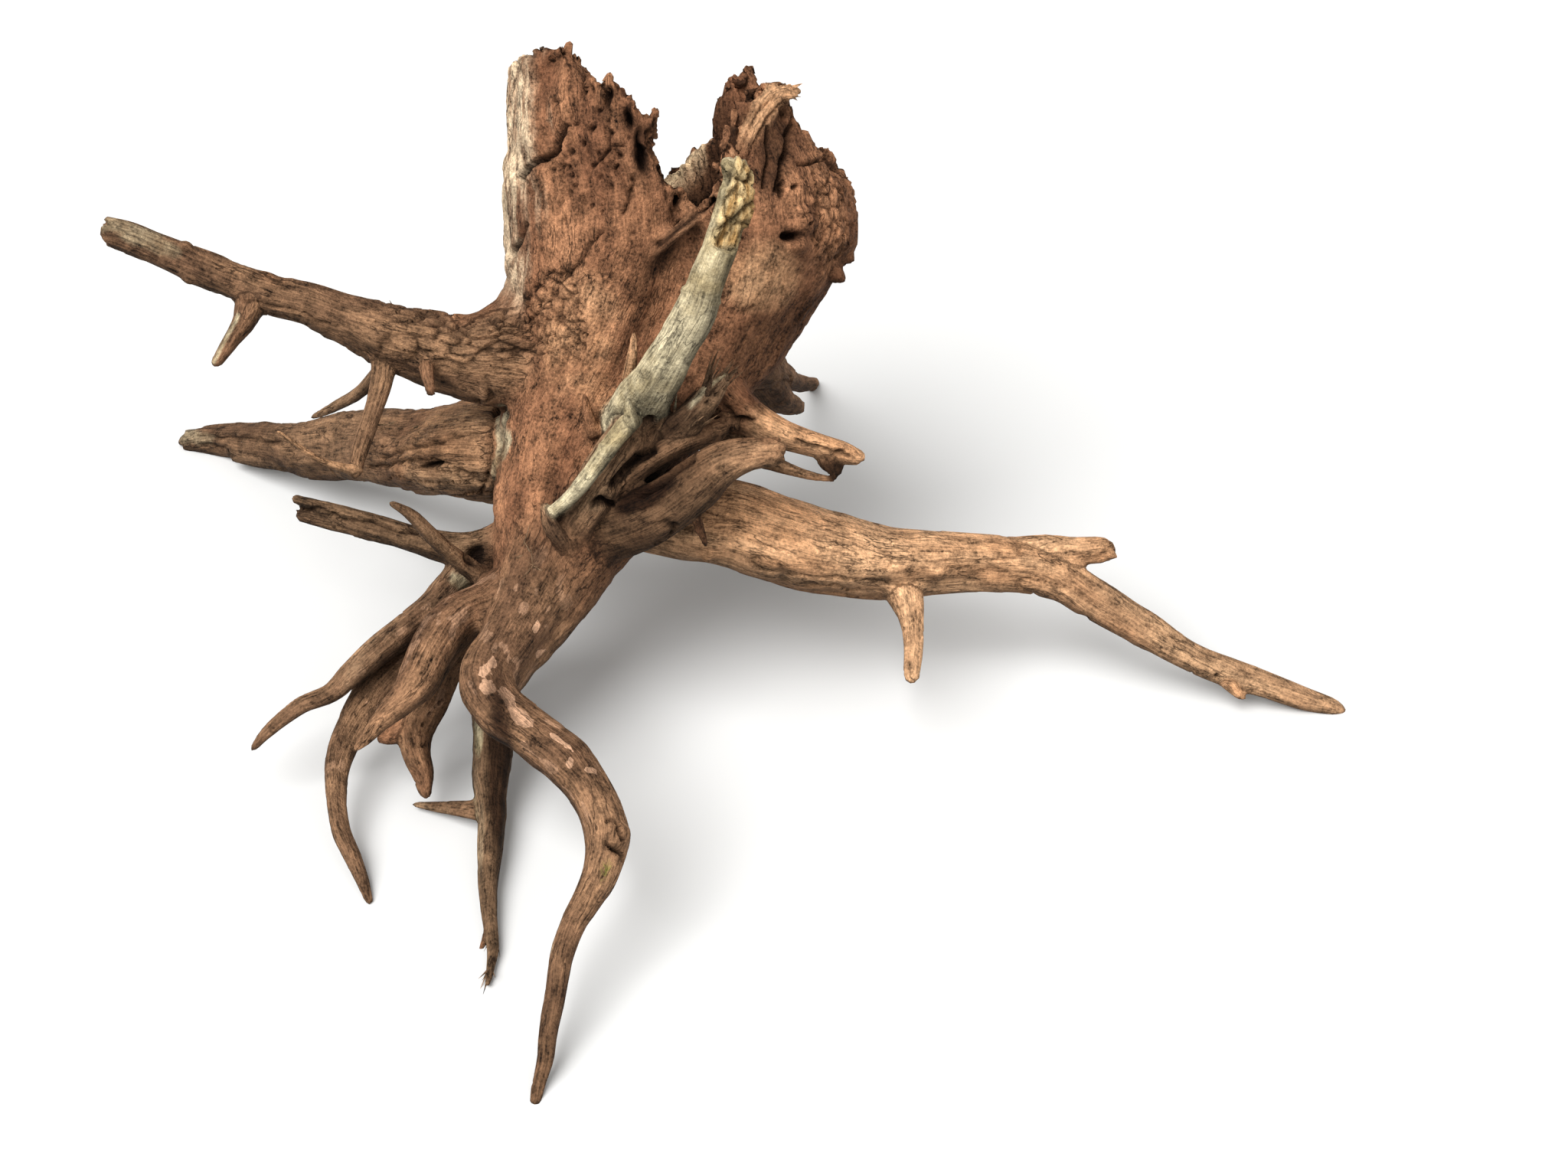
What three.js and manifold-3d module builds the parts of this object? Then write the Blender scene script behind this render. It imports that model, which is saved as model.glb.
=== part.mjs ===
// A weathered root stump (driftwood): a hollow, broken trunk that leans back over a knot of roots.
// It grew as one piece, so it is one closed solid. Millimetres, +Z up, standing on its root tips at Z = 0.
import * as THREE from "three";
import { mergeVertices } from "three/addons/utils/BufferGeometryUtils.js";
import Module from "manifold-3d";

const wasm = await Module();
wasm.setup();

// Driving dimensions
// The stump is drawn as seen by someone looking down on it. The sight plane stands square to that view,
// through the knot of roots where all the limbs meet.
const SIGHT_TILT = THREE.MathUtils.degToRad(40); // how far the view looks down, from level
const SIGHT_DISTANCE = 1400; // eye to sight plane
const SIGHT_CENTRE = new THREE.Vector3(46, -35, 110); // where the middle of the view meets that plane

// Limbs: lofted tubes through a few points
const SIDES_AT_NO_RADIUS = 4;
const SIDES_FEWEST = 6;
const SIDES_MOST = 10;
const RADIUS_PER_SIDE = 4; // a thicker limb gets more sides
const RING_SPACING_LEAST = 13;
const RING_SPACING_PER_RADIUS = 1.4;
const FACET_ALLOWANCE = 1.07; // a limb's flat facets lie inside its round outline
const OVAL = 0.09; // share by which a limb's section is drawn out one way
const LOBES = 0.06; // share by which its three soft flutes stand out
const TWIST_PER_MM = 0.006; // radians that the flutes turn along a limb

// Trunk: a two-lobed shell, open at its broken top
const TRUNK_SIDES = 60;
const TRUNK_RINGS = 12;
const TRUNK_EVEN_SHARE = 0.75; // share of the rings that are level, below the lowest notch of the rim
const TRUNK_EVEN_TOP = 240; // height on the sight plane where the level rings end
const VALLEY_ANGLE = THREE.MathUtils.degToRad(273); // the hollow between the two lobes faces the viewer
const VALLEY_WIDTH = THREE.MathUtils.degToRad(17);
const VALLEY_DEPTH = 0.36; // share of the radius
const VALLEY_MIDDLE = 195; // height on the sight plane where the valley is deepest
const VALLEY_REACH = 85;
const BACK_FLAT = 0.1; // share by which the back is flatter than the front

// Hollow: a tapering cavity that leaves the trunk's wall
const HOLLOW_SIDES = 28;
const HOLLOW_RINGS = 6;
const HOLLOW_FLOOR = 168; // height on the sight plane of its lowest point
const HOLLOW_TOP = 372; // clear above the rim
const HOLLOW_WALL = 19;
const HOLLOW_FOOT_SHARE = 0.45; // width at its floor against its width at the rim

const GROUND_BOX = 2400;

// Trunk stations: across, up, depth behind the sight plane, half width, half depth
const TRUNK = [
  [-162, -16, -4, 30, 30],
  [-142, 24, 6, 46, 43],
  [-132, 64, 16, 56, 50],
  [-116, 104, 22, 70, 58],
  [-93, 144, 24, 90, 66],
  [-79, 184, 18, 101, 74],
  [-67, 224, 8, 115, 80],
  [-70, 264, 0, 114, 80],
  [-81, 304, -6, 101, 76],
  [-86, 356, -12, 94, 72],
];

// Broken rim: angle round the trunk (0 right, 90 far side, 180 left, 270 near side) and height there
const RIM = [
  [0, 277],
  [12, 272],
  [24, 284],
  [30, 304],
  [36, 326],
  [44, 343],
  [50, 339],
  [56, 329],
  [60, 321],
  [64, 299],
  [72, 293],
  [78, 288],
  [84, 281],
  [90, 276],
  [97, 270],
  [108, 276],
  [132, 300],
  [156, 322],
  [180, 334],
  [204, 345],
  [222, 356],
  [228, 355],
  [234, 350],
  [240, 332],
  [246, 336],
  [252, 337],
  [256, 327],
  [260, 316],
  [263, 284],
  [266, 268],
  [270, 263],
  [275, 252],
  [279, 250],
  [284, 260],
  [288, 258],
  [294, 270],
  [300, 284],
  [306, 300],
  [312, 322],
  [318, 330],
  [330, 329],
  [336, 306],
  [348, 292],
];

// Limbs: across, up, depth behind the sight plane, radius as seen
const LIMBS = {
  // High limb on the left, with a spur, a drop twig and slivers under it
  left_high: [
    [-150, 152, 14, 30],
    [-187, 153, 6, 31],
    [-212, 154, 2, 26],
    [-237, 160, -3, 22.5],
    [-262, 166, -8, 19],
    [-287, 175, -13, 15.5],
    [-312, 184, -18, 14],
    [-337, 190, -22, 14],
    [-362, 201, -27, 12],
    [-387, 212, -31, 12.2],
    [-412, 223, -35, 11],
    [-437, 233, -39, 10],
    [-446, 235, -41, 9],
  ],
  left_shoulder: [
    [-162, 222, 12, 10],
    [-168, 197, 10, 13],
    [-180, 176, 6, 15],
    [-208, 161, 0, 21],
  ],
  left_high_spur: [
    [-349, 191, -25, 9],
    [-353, 175, -30, 7],
    [-360, 163, -36, 5.5],
    [-368, 151, -41, 4.5],
    [-373, 144, -44, 3.5],
  ],
  left_high_drop: [
    [-260, 154, -6, 9.5],
    [-264, 131, -10, 7.5],
    [-271, 109, -16, 6.5],
    [-278, 88, -22, 6],
    [-281, 71, -27, 4],
  ],
  left_high_thorn: [
    [-278, 76, -25, 4],
    [-302, 83, -48, 2.6],
    [-332, 103, -78, 1.5],
  ],
  left_high_sliver: [
    [-260, 147, -2, 6],
    [-277, 128, 10, 4.5],
    [-294, 118, 24, 3.5],
    [-309, 111, 36, 1.6],
  ],
  left_high_peg: [
    [-234, 146, -20, 5],
    [-232, 134, -26, 3.6],
    [-230, 125, -28, 2.4],
  ],
  left_high_scale: [
    [-318, 189, -24, 4],
    [-332, 200, -27, 3],
    [-341, 207, -28, 1.4],
  ],

  // Thick root that runs back and left to the ground
  left_back: [
    [-150, 88, 50, 34],
    [-192, 89, 70, 36],
    [-212, 90, 92, 33],
    [-237, 89, 128, 27],
    [-262, 92, 157, 22.5],
    [-287, 93, 197, 18.5],
    [-312, 92, 226, 16],
    [-337, 95, 260, 13],
    [-362, 97, 288, 10.5],
    [-381, 96, 305, 9],
    [-390, 94, 311, 8],
  ],
  left_back_prong: [
    [-300, 87, 210, 9],
    [-327, 84, 242, 7],
    [-347, 85, 262, 5.5],
    [-361, 88, 275, 4],
  ],

  // Low limb on the left, split at its end, and the twig in front of it
  left_low: [
    [-170, 30, 18, 18],
    [-202, 25, 20, 13],
    [-217, 26, 20, 11],
    [-237, 31, 20, 9],
    [-262, 38, 22, 9],
    [-289, 45, 24, 8],
  ],
  left_low_upper_split: [
    [-268, 44, 20, 5.5],
    [-297, 53, 21, 4],
    [-322, 60, 22, 1.6],
  ],
  left_low_lower_split: [
    [-268, 38, 24, 7],
    [-297, 44, 26, 6],
    [-319, 49, 28, 4],
  ],
  left_low_twig: [
    [-178, -8, 6, 9],
    [-198, 7, -8, 7],
    [-216, 21, -22, 6],
    [-231, 35, -36, 5.5],
    [-244, 48, -48, 4.5],
    [-258, 56, -58, 2],
  ],

  // Claw of four roots at the lower left
  claw_outer: [
    [-180, 20, 22, 16],
    [-212, 6, 22, 13],
    [-230, -13, 12, 12],
    [-244, -25, 2, 11.5],
    [-260, -37, -6, 10.5],
    [-283, -57, -15, 9],
    [-296, -69, -17, 7],
    [-315, -77, -16, 5.5],
    [-336, -93, -13, 4.5],
    [-348, -106, -10, 2.5],
  ],
  claw_back: [
    [-182, -6, 26, 16],
    [-217, -26, 26, 14],
    [-242, -43, 18, 13],
    [-264, -63, 8, 12.5],
    [-281, -88, -2, 10.5],
    [-290, -108, -14, 9],
    [-293, -131, -26, 7],
    [-290, -156, -39, 6.5],
    [-282, -175, -49, 6],
    [-275, -192, -57, 4.5],
    [-270, -207, -65, 2.4],
  ],
  claw_front: [
    [-172, 4, -8, 16],
    [-195, -10, -22, 14.5],
    [-212, -20, -32, 16],
    [-227, -39, -42, 15.5],
    [-238, -61, -50, 15],
    [-250, -75, -55, 11],
    [-264, -88, -60, 7.5],
    [-273, -99, -64, 4.5],
    [-281, -107, -67, 2],
  ],
  claw_web: [
    [-200, -22, 4, 15],
    [-220, -51, -4, 13],
    [-229, -71, -8, 13],
    [-240, -91, -12, 13],
    [-240, -107, -17, 10],
    [-235, -124, -22, 6.5],
    [-234, -138, -26, 3.5],
  ],
  claw_web_spur: [
    [-238, -85, -12, 11],
    [-255, -94, -14, 8],
    [-266, -99, -15, 3.5],
  ],

  // Long knee-bent leg at the front, down to the ground
  front_leg: [
    [-138, 44, 16, 28],
    [-146, 22, -3, 34],
    [-162, -11, -20, 28],
    [-180, -41, -45, 21.5],
    [-192, -63, -62, 20],
    [-185, -81, -76, 18.5],
    [-166, -96, -88, 17],
    [-140, -116, -104, 17.5],
    [-124, -139, -115, 15],
    [-116, -162, -126, 15],
    [-120, -184, -134, 12],
    [-128, -202, -141, 9.8],
    [-138, -220, -147, 8.4],
    [-145, -241, -154, 7],
    [-149, -266, -161, 6],
    [-154, -291, -167, 5.5],
    [-156, -309, -171, 5],
    [-160, -324, -174, 4.3],
    [-163, -340, -178, 3.4],
  ],
  second_leg: [
    [-178, -4, 12, 17],
    [-197, -46, 16, 13],
    [-193, -81, 8, 12.5],
    [-191, -104, -2, 12.5],
    [-192, -126, -14, 12],
    [-191, -151, -32, 9.5],
    [-192, -171, -48, 8],
    [-193, -196, -67, 6.3],
    [-192, -216, -83, 5],
    [-190, -236, -98, 3.8],
    [-192, -250, -109, 2.8],
    [-194, -261, -118, 1.8],
  ],
  second_leg_thorn: [
    [-192, -147, -24, 7.5],
    [-206, -145, -20, 6],
    [-227, -143, -10, 3.6],
    [-243, -141, -4, 1.5],
  ],
  second_leg_splinter: [
    [-192, -218, -86, 3],
    [-200, -245, -92, 1.4],
  ],

  // Heavy arm on the right: a stub, a long fork down to the ground and a drop spur
  right_arm: [
    [-125, 52, 6, 26],
    [-87, 48, 8, 25],
    [-62, 44, 12, 28.5],
    [-37, 41, 17, 31.5],
    [-12, 33, 22, 32],
    [13, 26, 27, 30.5],
    [38, 21, 32, 28],
    [63, 17, 36, 24.5],
    [88, 17, 40, 21],
    [113, 17, 44, 19],
    [138, 16, 47, 18],
    [163, 13, 50, 16.5],
    [183, 5, 52, 13.5],
    [198, -5, 54, 12.5],
    [223, -20, 57, 11.3],
    [263, -44, 62, 9.5],
    [288, -55, 65, 9.5],
    [313, -63, 67, 8.5],
    [338, -72, 70, 8],
    [358, -78, 72, 6],
    [367, -81, 73, 3.2],
  ],
  right_arm_stub: [
    [146, 20, 48, 13],
    [168, 24, 49, 11],
    [188, 24, 48, 9.2],
    [208, 25, 46, 8],
    [217, 23, 45, 4.5],
  ],
  right_arm_drop: [
    [69, 18, 38, 14],
    [79, -6, 31, 9.5],
    [84, -23, 24, 7.3],
    [84, -41, 16, 5.8],
    [83, -56, 9, 4.6],
    [83, -62, 6, 3],
  ],
  right_arm_chip: [
    [289, -60, 62, 6],
    [297, -69, 61, 3.6],
    [302, -73, 61, 1.6],
  ],

  // Pale root that rises in front of the trunk, with its foot and the runner grown along it
  pale_root: [
    [-110, 96, 5, 20],
    [-97, 110, -34, 18],
    [-92, 122, -52, 16],
    [-82, 138, -72, 14],
    [-67, 163, -92, 12.2],
    [-56, 184, -108, 12],
    [-49, 204, -121, 11.5],
    [-43, 219, -128, 11.2],
    [-37, 235, -134, 11.6],
    [-31, 254, -140, 11.6],
    [-29, 270, -146, 9.5],
    [-31, 281, -149, 6],
  ],
  pale_root_foot: [
    [-146, 28, -18, 16],
    [-129, 56, -38, 14.5],
    [-112, 81, -46, 14],
    [-94, 108, -48, 16],
  ],
  pale_runner: [
    [-151, 50, -46, 4.8],
    [-141, 58, -56, 5.2],
    [-132, 68, -64, 5.6],
    [-123, 80, -69, 6],
    [-113, 94, -72, 6.4],
    [-104, 105, -73, 7],
    [-96, 112, -66, 7],
  ],
  pale_runner_spur: [
    [-99, 108, -76, 5],
    [-101, 116, -82, 4],
    [-102, 125, -86, 1.6],
  ],
  pale_runner_sliver: [
    [-157, 55, -46, 2.6],
    [-152, 40, -46, 5],
    [-140, 24, -34, 4.5],
  ],

  // Stubs, ridge and hook to the right of it
  frayed_stub: [
    [-92, 80, -20, 15],
    [-74, 99, -44, 11],
    [-60, 113, -56, 9],
    [-48, 127, -64, 7.2],
    [-37, 140, -71, 4],
  ],
  ridge: [
    [-126, 54, -28, 10],
    [-97, 76, -46, 8],
    [-77, 89, -50, 8],
    [-62, 96, -48, 8],
    [-38, 105, -26, 10],
  ],
  right_hook: [
    [-124, 36, -10, 21],
    [-97, 44, -34, 18],
    [-77, 53, -47, 16.5],
    [-57, 67, -58, 15.5],
    [-39, 81, -64, 13],
    [-22, 87, -67, 10.5],
    [-7, 89, -68, 8.5],
    [-1, 89, -68, 7.2],
  ],
  right_hook_splinter: [
    [-61, 57, -54, 4],
    [-56, 42, -52, 3],
    [-50, 25, -50, 1.3],
  ],
  right_stub: [
    [-58, 142, 0, 27],
    [-37, 122, -14, 18],
    [-19, 109, -20, 13],
    [-2, 101, -22, 10.6],
    [13, 96, -23, 9],
    [38, 89, -25, 7.3],
    [53, 84, -26, 3.4],
  ],
  right_stub_strip: [
    [-44, 98, 4, 12],
    [-12, 81, 0, 5],
    [11, 73, -6, 3.6],
    [29, 70, -14, 4],
    [36, 77, -19, 6],
    [36, 88, -23, 6.5],
  ],
  right_back: [
    [-40, 168, 44, 34],
    [-20, 150, 95, 20],
    [-8, 142, 150, 12],
    [1, 137, 220, 7.5],
    [11, 134, 300, 5.5],
    [20, 133, 376, 4],
  ],
  right_back_prong: [
    [-16, 140, 105, 14],
    [-4, 124, 160, 9],
    [4, 120, 205, 6.8],
    [11, 117, 240, 4],
  ],

  // Blades and spurs that stand off the trunk
  trunk_blade: [
    [-102, 134, -38, 5],
    [-99, 152, -52, 4],
    [-98, 169, -56, 2],
  ],
  trunk_lamella: [
    [-86, 219, -50, 5],
    [-66, 236, -60, 4.5],
    [-47, 252, -48, 6],
  ],
  rim_left_splinter: [
    [-100, 284, -64, 12],
    [-89, 303, -66, 9],
    [-82, 313, -66, 3.5],
  ],
  rim_right_blade: [
    [-42, 258, -62, 5],
    [-31, 287, -66, 7.5],
    [-20, 307, -62, 9.5],
    [-11, 320, -56, 9],
    [1, 325, -50, 6.5],
    [11, 324, -46, 3],
  ],
  trunk_spike: [
    [-124, 100, -32, 5],
    [-131, 127, -48, 1.4],
  ],
  trunk_right_spur: [
    [8, 222, 4, 16],
    [28, 210, -2, 10],
    [40, 200, -6, 2.5],
  ],
  trunk_right_burr: [
    [16, 226, 6, 20],
    [36, 219, 4, 11],
    [45, 212, 2, 4],
  ],
};

// The fresh break at the pale root's end: its near half is split away above a ledge
const BREAK_LEDGE = [-41, 224, -130]; // a point on the root's axis at the ledge
const BREAK_TIP = [-31, 281, -149]; // where that axis ends
const BREAK_LENGTH = 90;
const BREAK_WIDTH = 70;
const BREAK_DEPTH = 40;
const BREAK_TURN = THREE.MathUtils.degToRad(22); // the split faces a little to the right
const BREAK_LEAN = THREE.MathUtils.degToRad(-7); // and its ledge is deeper than its tip

// Turns a point on the sight plane, at a depth behind it, into the part's own frame.
const viewUp = new THREE.Vector3(0, Math.sin(SIGHT_TILT), Math.cos(SIGHT_TILT));
const viewAway = new THREE.Vector3(0, Math.cos(SIGHT_TILT), -Math.sin(SIGHT_TILT));
const nearness = (depth) => 1 + depth / SIGHT_DISTANCE; // what is further off is larger than it looks

function fromSight(across, up, depth) {
  const grow = nearness(depth);
  return new THREE.Vector3(across * grow, 0, 0)
    .addScaledVector(viewUp, up * grow)
    .addScaledVector(viewAway, depth)
    .add(SIGHT_CENTRE);
}

// Value at a place along a list, eased between its neighbours.
function along(values, place) {
  const low = Math.min(Math.floor(place), values.length - 2);
  return THREE.MathUtils.lerp(values[low], values[low + 1], THREE.MathUtils.smoothstep(place - low, 0, 1));
}

// Moves every vertex of a unit cylinder by a rule of its angle, its share of the height, and its reach:
// 0 at the centre of a cap and 1 on the skin.
const UNIT_HEIGHT = 1;

function shapedCylinder(sides, rings, place) {
  const geometry = new THREE.CylinderGeometry(1, 1, UNIT_HEIGHT, sides, rings);
  const position = geometry.getAttribute("position");
  const vertex = new THREE.Vector3();
  for (let i = 0; i < position.count; i++) {
    vertex.fromBufferAttribute(position, i);
    const reach = Math.round(Math.hypot(vertex.x, vertex.z));
    const angle = Math.atan2(vertex.z, vertex.x);
    const moved = place(angle, vertex.y + UNIT_HEIGHT / 2, reach);
    position.setXYZ(i, moved.x, moved.y, moved.z);
  }
  return geometry;
}

function solidOf(geometry) {
  geometry.deleteAttribute("normal");
  geometry.deleteAttribute("uv");
  const merged = mergeVertices(geometry);
  const mesh = new wasm.Mesh({
    numProp: 3,
    vertProperties: merged.getAttribute("position").array,
    triVerts: new Uint32Array(merged.index.array),
  });
  return new wasm.Manifold(mesh);
}

// A limb: a tube of uneven, slowly turning section along a smooth curve through its points.
function limb(rows, order) {
  const curve = new THREE.CatmullRomCurve3(rows.map(([a, u, d]) => fromSight(a, u, d)), false, "centripetal");
  const radii = rows.map(([, , d, r]) => r * nearness(d) * FACET_ALLOWANCE);
  const thickest = Math.max(...radii);
  const mean = radii.reduce((sum, r) => sum + r, 0) / radii.length;
  const length = curve.getLength();
  const wanted = Math.round(SIDES_AT_NO_RADIUS + thickest / RADIUS_PER_SIDE);
  const sides = THREE.MathUtils.clamp(wanted, SIDES_FEWEST, SIDES_MOST);
  const spacing = Math.max(RING_SPACING_LEAST, mean * RING_SPACING_PER_RADIUS);
  const rings = Math.max(rows.length - 1, Math.round(length / spacing));
  const frames = curve.computeFrenetFrames(rings, false);
  return shapedCylinder(sides, rings, (angle, share, reach) => {
    const ring = Math.round(share * rings);
    const seen = curve.getUtoTmapping(share) * (rows.length - 1);
    const turn = angle + share * length * TWIST_PER_MM + order;
    const uneven = 1 + OVAL * Math.cos(2 * turn) + LOBES * Math.cos(3 * turn + order);
    const radius = reach * uneven * along(radii, seen);
    return curve
      .getPointAt(share)
      .addScaledVector(frames.binormals[ring], radius * Math.cos(angle))
      .addScaledVector(frames.normals[ring], radius * Math.sin(angle));
  });
}

// Trunk station at a height on the sight plane: centre, depth, half width and half depth.
function trunkAt(up) {
  const heights = TRUNK.map((row) => row[1]);
  let low = 0;
  while (low < heights.length - 2 && heights[low + 1] < up) low++;
  const share = (up - heights[low]) / (heights[low + 1] - heights[low]);
  const [across, , depth, halfWidth, halfDepth] = TRUNK[low].map((v, i) =>
    THREE.MathUtils.lerp(v, TRUNK[low + 1][i], share),
  );
  return { across, depth, halfWidth, halfDepth };
}

// Height of the broken rim at an angle round the trunk.
function rimAt(angle) {
  const degrees = THREE.MathUtils.euclideanModulo(THREE.MathUtils.radToDeg(angle), 360);
  const next = RIM.findIndex(([at]) => at > degrees);
  const [toAngle, toHeight] = next < 0 ? [360, RIM[0][1]] : RIM[next];
  const [fromAngle, fromHeight] = RIM[(next < 0 ? RIM.length : next) - 1];
  return THREE.MathUtils.mapLinear(degrees, fromAngle, toAngle, fromHeight, toHeight);
}

// How far the trunk's skin lies from its axis, as a share of an oval's radius:
// two lobes with a valley between.
function lobedShare(angle, up) {
  const turn = Math.atan2(Math.sin(angle - VALLEY_ANGLE), Math.cos(angle - VALLEY_ANGLE));
  const acrossValley = turn / VALLEY_WIDTH;
  const alongValley = (up - VALLEY_MIDDLE) / VALLEY_REACH;
  const valley = Math.exp(-(acrossValley ** 2) - alongValley ** 2);
  const flatBack = BACK_FLAT * Math.max(0, Math.sin(angle)) ** 2;
  return 1 - VALLEY_DEPTH * valley - flatBack;
}

function trunkPoint(angle, up, reach) {
  const { across, depth, halfWidth, halfDepth } = trunkAt(up);
  return fromSight(
    across + reach * halfWidth * Math.cos(angle),
    up,
    depth + reach * halfDepth * Math.sin(angle),
  );
}

function trunk() {
  const foot = TRUNK[0][1];
  const crown = HOLLOW_FLOOR + HOLLOW_WALL; // the cap's middle, which the hollow takes away
  return shapedCylinder(TRUNK_SIDES, TRUNK_RINGS, (angle, share, reach) => {
    const top = reach ? rimAt(-angle) : crown;
    const level = THREE.MathUtils.mapLinear(share, 0, TRUNK_EVEN_SHARE, foot, TRUNK_EVEN_TOP);
    const rising = THREE.MathUtils.mapLinear(share, TRUNK_EVEN_SHARE, 1, TRUNK_EVEN_TOP, top);
    const up = share <= TRUNK_EVEN_SHARE ? level : rising;
    const capMiddle = share ? crown : foot;
    return trunkPoint(-angle, reach ? up : capMiddle, reach * lobedShare(-angle, up));
  });
}

function hollow() {
  return shapedCylinder(HOLLOW_SIDES, HOLLOW_RINGS, (angle, share, reach) => {
    const up = THREE.MathUtils.lerp(HOLLOW_FLOOR, HOLLOW_TOP, share);
    const { halfWidth } = trunkAt(up);
    const wall = 1 - HOLLOW_WALL / halfWidth;
    const taper = THREE.MathUtils.lerp(HOLLOW_FOOT_SHARE, 1, Math.sqrt(share));
    return trunkPoint(-angle, up, reach * wall * taper * lobedShare(-angle, up));
  });
}

function freshBreak() {
  const ledge = fromSight(...BREAK_LEDGE);
  const alongRoot = fromSight(...BREAK_TIP).sub(ledge).normalize();
  const toViewer = viewAway.clone().negate();
  const sideways = new THREE.Vector3().crossVectors(alongRoot, toViewer).normalize();
  const outward = new THREE.Vector3().crossVectors(sideways, alongRoot);
  return new THREE.BoxGeometry(BREAK_WIDTH, BREAK_LENGTH, BREAK_DEPTH)
    .translate(0, BREAK_LENGTH / 2, BREAK_DEPTH / 2)
    .rotateX(BREAK_LEAN)
    .rotateY(BREAK_TURN)
    .applyMatrix4(new THREE.Matrix4().makeBasis(sideways, alongRoot, outward).setPosition(ledge));
}

function ground() {
  return new THREE.BoxGeometry(GROUND_BOX, GROUND_BOX, GROUND_BOX).translate(0, 0, -GROUND_BOX / 2);
}

function meshOf(solid, name, material) {
  const { vertProperties, triVerts } = solid.getMesh();
  const geometry = new THREE.BufferGeometry()
    .setAttribute("position", new THREE.BufferAttribute(vertProperties, 3))
    .setIndex(new THREE.BufferAttribute(triVerts, 1));
  geometry.computeVertexNormals();
  const mesh = new THREE.Mesh(geometry, material);
  mesh.name = name;
  return mesh;
}

const wood = new THREE.MeshStandardMaterial({ color: 0x8c5f43, roughness: 0.88, metalness: 0 });

const limbs = Object.fromEntries(
  Object.entries(LIMBS).map(([name, rows], order) => [name, solidOf(limb(rows, order))]),
);
limbs.pale_root = limbs.pale_root.subtract(solidOf(freshBreak()));

const shell = solidOf(trunk()).subtract(solidOf(hollow()));
const grown = Object.values(limbs).reduce((whole, part) => whole.add(part), shell);
const standing = grown.subtract(solidOf(ground())); // the tips that bear on the ground are worn flat

const stump = new THREE.Group();
stump.add(meshOf(standing, "driftwood", wood));

export default stump;
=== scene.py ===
# %% [markdown]
# # A weathered root stump
# The real object is one piece of driftwood: a hollow trunk, broken off short, that leans back over a knot
# of roots. The solid model already has the limbs and the hollow, as plain facets. This script grows a
# finer skin over the same limbs: round sections, a ragged rim, cracks, worm holes and grain, and then
# paints it. All lengths in the tables are millimetres, and everything handed to Blender is in metres.

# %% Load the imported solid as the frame
import math

import bpy
import numpy as np
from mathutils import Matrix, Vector
from mathutils.bvhtree import BVHTree


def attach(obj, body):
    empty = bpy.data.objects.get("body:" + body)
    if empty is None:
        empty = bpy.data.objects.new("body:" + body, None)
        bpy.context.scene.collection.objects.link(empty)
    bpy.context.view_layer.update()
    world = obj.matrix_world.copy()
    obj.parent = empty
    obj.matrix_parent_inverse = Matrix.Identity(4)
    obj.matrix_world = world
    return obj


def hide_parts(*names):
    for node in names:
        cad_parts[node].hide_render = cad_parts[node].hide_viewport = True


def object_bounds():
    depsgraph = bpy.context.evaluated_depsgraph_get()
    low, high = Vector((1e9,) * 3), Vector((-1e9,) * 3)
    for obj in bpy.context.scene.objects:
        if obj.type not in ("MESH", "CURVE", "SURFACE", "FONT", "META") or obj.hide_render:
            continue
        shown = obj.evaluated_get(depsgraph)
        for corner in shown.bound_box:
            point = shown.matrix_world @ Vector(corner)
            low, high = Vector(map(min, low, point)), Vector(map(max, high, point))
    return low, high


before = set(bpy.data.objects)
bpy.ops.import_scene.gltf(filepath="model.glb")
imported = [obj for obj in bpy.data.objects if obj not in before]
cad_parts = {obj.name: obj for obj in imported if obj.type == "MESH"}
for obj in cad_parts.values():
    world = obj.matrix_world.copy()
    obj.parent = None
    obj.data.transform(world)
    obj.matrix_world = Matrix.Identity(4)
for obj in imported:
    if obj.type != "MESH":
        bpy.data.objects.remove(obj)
cad_low, cad_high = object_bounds()
MM = 0.001
print("solid measures", [round(side, 3) for side in cad_high - cad_low], "m")

# %% [markdown]
# ## The view that the limbs are drawn in
# The limbs were drawn on a sight plane that stands square to someone looking down at the stump. A point
# on that plane has a place across, a place up and a depth behind it. What is further off is larger than
# it looks, so both places grow with depth. The same tilt, distance and centre later place the camera, and
# that keeps picture and shape together.

# %% Sight plane to frame, and back
SIGHT_TILT = math.radians(40)
SIGHT_DISTANCE = 1400.0
SIGHT_CENTRE = np.array([46.0, -35.0, 110.0])
VIEW_UP = np.array([0.0, math.sin(SIGHT_TILT), math.cos(SIGHT_TILT)])
VIEW_AWAY = np.array([0.0, math.cos(SIGHT_TILT), -math.sin(SIGHT_TILT)])
VIEW_RIGHT = np.array([1.0, 0.0, 0.0])


def nearness(depth):
    """How many times larger a thing is than it looks, at a depth behind the plane."""
    return 1 + depth / SIGHT_DISTANCE


def from_sight(across, up, depth):
    """Points in the frame, in millimetres, from places on the sight plane and depths behind it."""
    across, up, depth = np.broadcast_arrays(across, up, depth)
    grow = nearness(depth)[..., None]
    flat = across[..., None] * VIEW_RIGHT + up[..., None] * VIEW_UP
    return SIGHT_CENTRE + flat * grow + depth[..., None] * VIEW_AWAY


def to_sight(points):
    """Places across and up the sight plane, and depths behind it, of points in the frame."""
    apart = points - SIGHT_CENTRE
    depth = apart @ VIEW_AWAY
    return apart @ VIEW_RIGHT / nearness(depth), apart @ VIEW_UP / nearness(depth), depth


print("a point 100 up and 50 behind lies at", from_sight(0.0, 100.0, 50.0).round(1))

# %% [markdown]
# ## Chance that repeats
# Wood needs noise at many sizes. A noise texture could push the skin about with a modifier, but then the
# same cracks could not also be painted dark. So the noise is worked out here, from whole-number cells
# mixed by a fixed rule: the same place always gives the same number, and the wood is the same on every
# run.

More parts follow.
